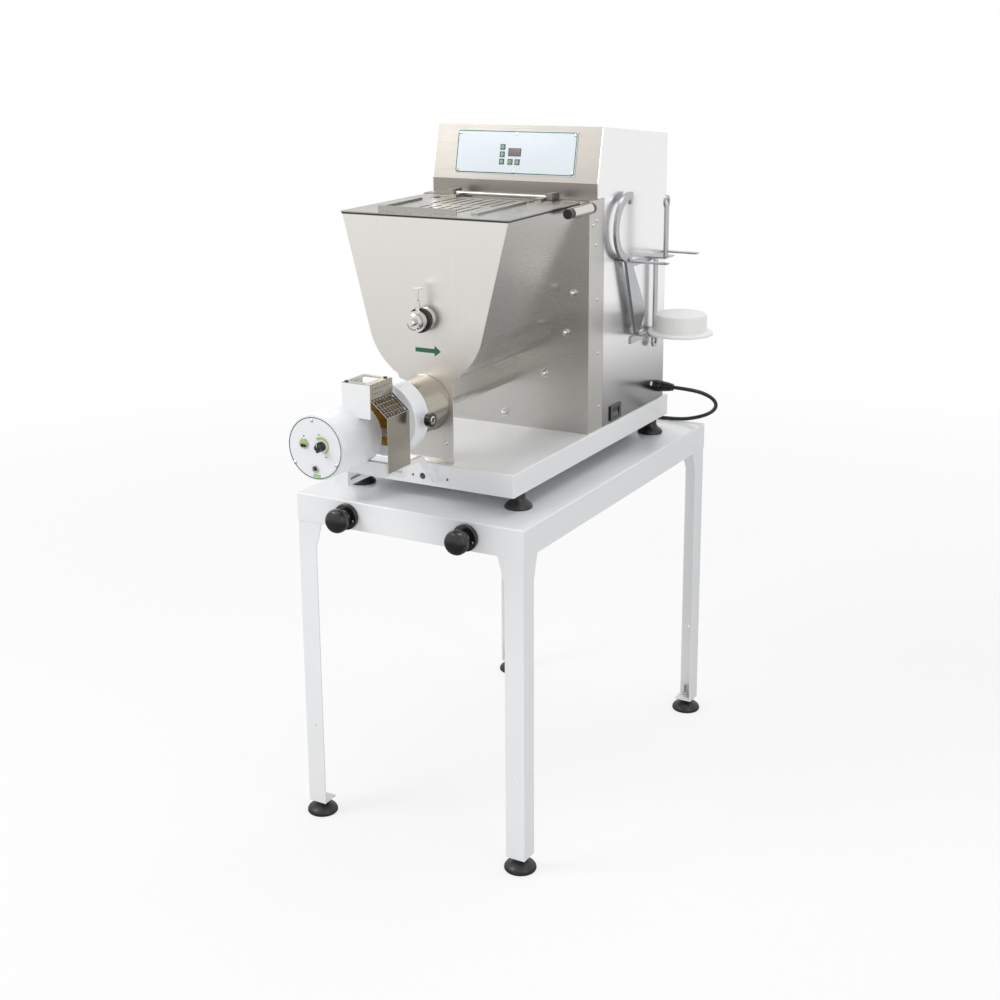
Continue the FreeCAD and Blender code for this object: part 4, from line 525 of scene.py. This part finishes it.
# %% Marks on the cutter face
shape = bmesh.new()
flat_ring(shape, (0, 0), 52.0, 53.4, -0.1, 0.3, 0, 360, 96)
bmesh.ops.transform(shape, matrix=DIAL, verts=shape.verts)
make("face_edge_ring", shape, green_film, "machine")
shape = bmesh.new()
for number in range(9):
    start = -62 + number * 22
    flat_ring(shape, (14, 5), 11.6, 14.4 + 0.28 * number, -0.1, 0.25, start, start + 19, 5)
rounded_plate(shape, (2, -48), 15, 5.5, 1.2, -0.1, 0.25)
bmesh.ops.transform(shape, matrix=DIAL, verts=shape.verts)
make("speed_scale_print", shape, leaf_print, "machine")
shape = bmesh.new()
flat_ring(shape, (-22, 6), 7.3, 9.4, -0.1, 1.3, 0, 360, 48)
flat_ring(shape, (0, -36), 4.3, 6.6, -0.1, 2.2, 0, 360, 48)
bmesh.ops.transform(shape, matrix=DIAL, verts=shape.verts)
make("switch_frame_and_socket", shape, bright_steel, "machine", (), 0.3)
shape = bmesh.new()
rounded_plate(shape, (-22, 18.5), 2.6, 2.6, 1.2, -0.1, 0.3)
flat_ring(shape, (0, -36), 0.4, 4.1, -1.2, -0.2, 0, 360, 32)
rounded_plate(shape, (9, 24), 4, 1.2, 0, -0.1, 0.2)
rounded_plate(shape, (22, -13), 4, 1.4, 0, -0.1, 0.2)
bmesh.ops.transform(shape, matrix=DIAL, verts=shape.verts)
make("face_dark_marks", shape, black_plastic, "machine")
shape = bmesh.new()
rounded_plate(shape, (-22, 2.6), 11.5, 5.6, 2.2, 3.0, 3.4)
bmesh.ops.transform(shape, matrix=DIAL, verts=shape.verts)
make("push_switch_shade", shape, black_plastic, "round_switch_body")

# %% [markdown]
# The speed knob is a black pointer knob: a skirt, a finger wing and a white line.

# %% Speed knob
shape = bmesh.new()
turn_profile(shape, [(0, -9), (3, -9), (3, 0.5), (8.5, 0.5), (8.5, 3), (6.8, 4.6), (6.2, 14),
                     (5.2, 15), (0, 15)], (-30, -620, 827), "-y", 48)
made = bmesh.ops.create_cube(shape, size=1)["verts"]
bmesh.ops.scale(shape, vec=(0.0034, 0.0134, 0.0166), verts=made)
bmesh.ops.translate(shape, vec=(-0.030, -0.6285, 0.827), verts=made)
make("pointer_knob", shape, black_plastic, "speed_knob_body", ["speed_knob"], 0.6)
shape = bmesh.new()
rounded_plate(shape, (14, 9.6), 1.2, 5.4, 0, 15.2, 15.4)
bmesh.ops.transform(shape, matrix=DIAL, verts=shape.verts)
make("knob_line", shape, pale_print, "speed_knob_body")

# %% [markdown]
# A plain green arrow on the hopper shows which way the mixer turns.

# %% Direction arrow
shape = bmesh.new()
rounded_plate(shape, (0, 0), 40, 8, 0, 0.0, 0.25)
head = [shape.verts.new((x * MM, y * MM, 0.0)) for x, y in ((20, -10), (33, 0), (20, 10))]
raise_faces(shape, [shape.faces.new(head)], 0.25)
bmesh.ops.transform(shape, matrix=FRONT, verts=shape.verts)
make("direction_arrow", shape, green_film, "machine")

# %% [markdown]
# The slanted grid beside the die is blackened, so it shows dark between the bright folds
# of the guard. It lies as a thin lattice just outside the sheet.

# %% Grid bars of the guard
shape = bmesh.new()
low, high = Vector((0.0555, 0, 0.8676)), Vector((0.0225, 0, 0.8956))
fold = high - low
slant = -atan2(fold.z, -fold.x)
spots = [((low + high) / 2 + Vector((0, -0.548 + (2.6 + 9 * k) * MM, 0)), (0.0415, 0.0018))
         for k in range(8)]
for part in (0.06, 0.29, 0.52, 0.75, 0.97):
    spots.append((low + fold * part + Vector((0, -0.5145, 0)), (0.0016, 0.065)))
for centre, (length, depth) in spots:
    made = bmesh.ops.create_cube(shape, size=1)["verts"]
    bmesh.ops.scale(shape, vec=(length, depth, 0.0009), verts=made)
    bmesh.ops.rotate(shape, matrix=Matrix.Rotation(-slant, 3, "Y"), verts=made)
    bmesh.ops.translate(shape, vec=centre, verts=made)
make("grid_bars", shape, dark_grid, "machine")

# %% [markdown]
# The hood is painted but its roof is a bare brushed sheet with the window cut in it, so
# the brass of the die shows through. Four strips make the sheet.

# %% Hood roof
shape = bmesh.new()
for x0, x1, y0, y1 in ((-36, 21, -548, -534), (-36, 21, -490, -480),
                       (-36, -28, -534, -490), (7, 21, -534, -490)):
    made = bmesh.ops.create_cube(shape, size=1)["verts"]
    bmesh.ops.scale(shape, vec=((x1 - x0) * MM, (y1 - y0) * MM, 0.7 * MM), verts=made)
    bmesh.ops.translate(shape, vec=((x0 + x1) / 2 * MM, (y0 + y1) / 2 * MM, 921.25 * MM), verts=made)
make("hood_roof_sheet", shape, barrel_steel, "machine")

# %% [markdown]
# Two small black screws fix the hood's top. They are plain cheese-head screws.

# %% Hood screws
shape = bmesh.new()
for x, y in ((-30.5, -541), (13, -487)):
    turn_profile(shape, [(0, 0), (3.4, 0), (3.4, 1.6), (2.6, 2.4), (0, 2.4)], (x, y, 921.5), "z", 28)
make("hood_screws", shape, black_plastic, "machine", (), 0.3)

# %% [markdown]
# A plain pale floor and soft studio light. The world is white where the camera and shiny
# surfaces see it, and gives a softer level to everything else. Three wide lamps shape the
# metal: a key from the upper left, a weak fill from the right and one from above. In
# reflections the floor near the machine is grey, which shades the lower steel as a studio does.

# %% Floor, world and lamps
floor_shape = bmesh.new()
bmesh.ops.create_grid(floor_shape, x_segments=1, y_segments=1, size=30)
floor_mesh = bpy.data.meshes.new("studio_floor")
floor_shape.to_mesh(floor_mesh)
floor_shape.free()
floor = bpy.data.objects.new("studio_floor", floor_mesh)
bpy.context.collection.objects.link(floor)
floor_paint = new_material("pale_studio_paper")
sight = add(floor_paint, "ShaderNodeLightPath")
spot = add(floor_paint, "ShaderNodeTexCoord")
distance = add(floor_paint, "ShaderNodeVectorMath", {0: spot.outputs["Object"]}, operation="LENGTH")
far = add(floor_paint, "ShaderNodeMapRange",
          {"Value": distance.outputs["Value"], "From Min": 1.2, "From Max": 3.6,
           "To Min": 0.74, "To Max": 1.0})
far_glow = add(floor_paint, "ShaderNodeMapRange",
               {"Value": distance.outputs["Value"], "From Min": 2.2, "From Max": 4.2,
                "To Min": 0.3, "To Max": 1.0})
level = add(floor_paint, "ShaderNodeMix",
            {"Factor": sight.outputs["Is Glossy Ray"], "A": 1.0, "B": far_glow.outputs[0]},
            data_type="FLOAT")
seen = add(floor_paint, "ShaderNodeMath",
           {0: sight.outputs["Is Camera Ray"], 1: far.outputs[0]}, operation="MULTIPLY")
share = add(floor_paint, "ShaderNodeMath",
            {0: seen.outputs[0], 1: sight.outputs["Is Glossy Ray"]}, operation="MAXIMUM")
paper = add(floor_paint, "ShaderNodeBsdfDiffuse", {"Color": linear("F4F4F4")})
glow = add(floor_paint, "ShaderNodeEmission", {"Color": (1, 1, 1, 1), "Strength": level.outputs[0]})
close(floor_paint, add(floor_paint, "ShaderNodeMixShader",
                       {0: share.outputs[0], 1: paper.outputs[0], 2: glow.outputs[0]}))
floor_mesh.materials.append(floor_paint)

world = bpy.data.worlds.new("studio_world")
bpy.context.scene.world = world
world.use_nodes = True
world.node_tree.nodes.clear()
sight = add(world, "ShaderNodeLightPath")
clear = add(world, "ShaderNodeMath",
            {0: sight.outputs["Is Camera Ray"], 1: sight.outputs["Is Transmission Ray"]},
            operation="MAXIMUM")
shiny = add(world, "ShaderNodeMath",
            {0: clear.outputs[0], 1: sight.outputs["Is Glossy Ray"]}, operation="MAXIMUM")
soft_level = add(world, "ShaderNodeBackground", {"Color": (1, 1, 1, 1), "Strength": 0.55})
white_level = add(world, "ShaderNodeBackground", {"Color": (1, 1, 1, 1), "Strength": 1.0})
mixed = add(world, "ShaderNodeMixShader",
            {0: shiny.outputs[0], 1: soft_level.outputs[0], 2: white_level.outputs[0]})
add(world, "ShaderNodeOutputWorld", {"Surface": mixed.outputs[0]})


def lamp(name, place, size, power):
    """Wide soft lamp aimed at the middle of the machine."""
    light = bpy.data.lights.new(name, "AREA")
    light.shape = "RECTANGLE"
    light.size, light.size_y = size
    light.energy = power
    holder = bpy.data.objects.new(name, light)
    bpy.context.collection.objects.link(holder)
    holder.location = place
    aim = Vector((0, 0, 0.9)) - Vector(place)
    holder.rotation_euler = aim.to_track_quat("-Z", "Y").to_euler()
    return holder


lamp("key_lamp", (-2.2, -2.6, 3.2), (1.8, 1.8), 70)
lamp("fill_lamp", (3.2, -1.6, 2.2), (1.6, 2.0), 22)
lamp("top_lamp", (0.3, 0.6, 3.6), (2.0, 2.0), 30)

# %% Finish
bpy.context.view_layer.update()
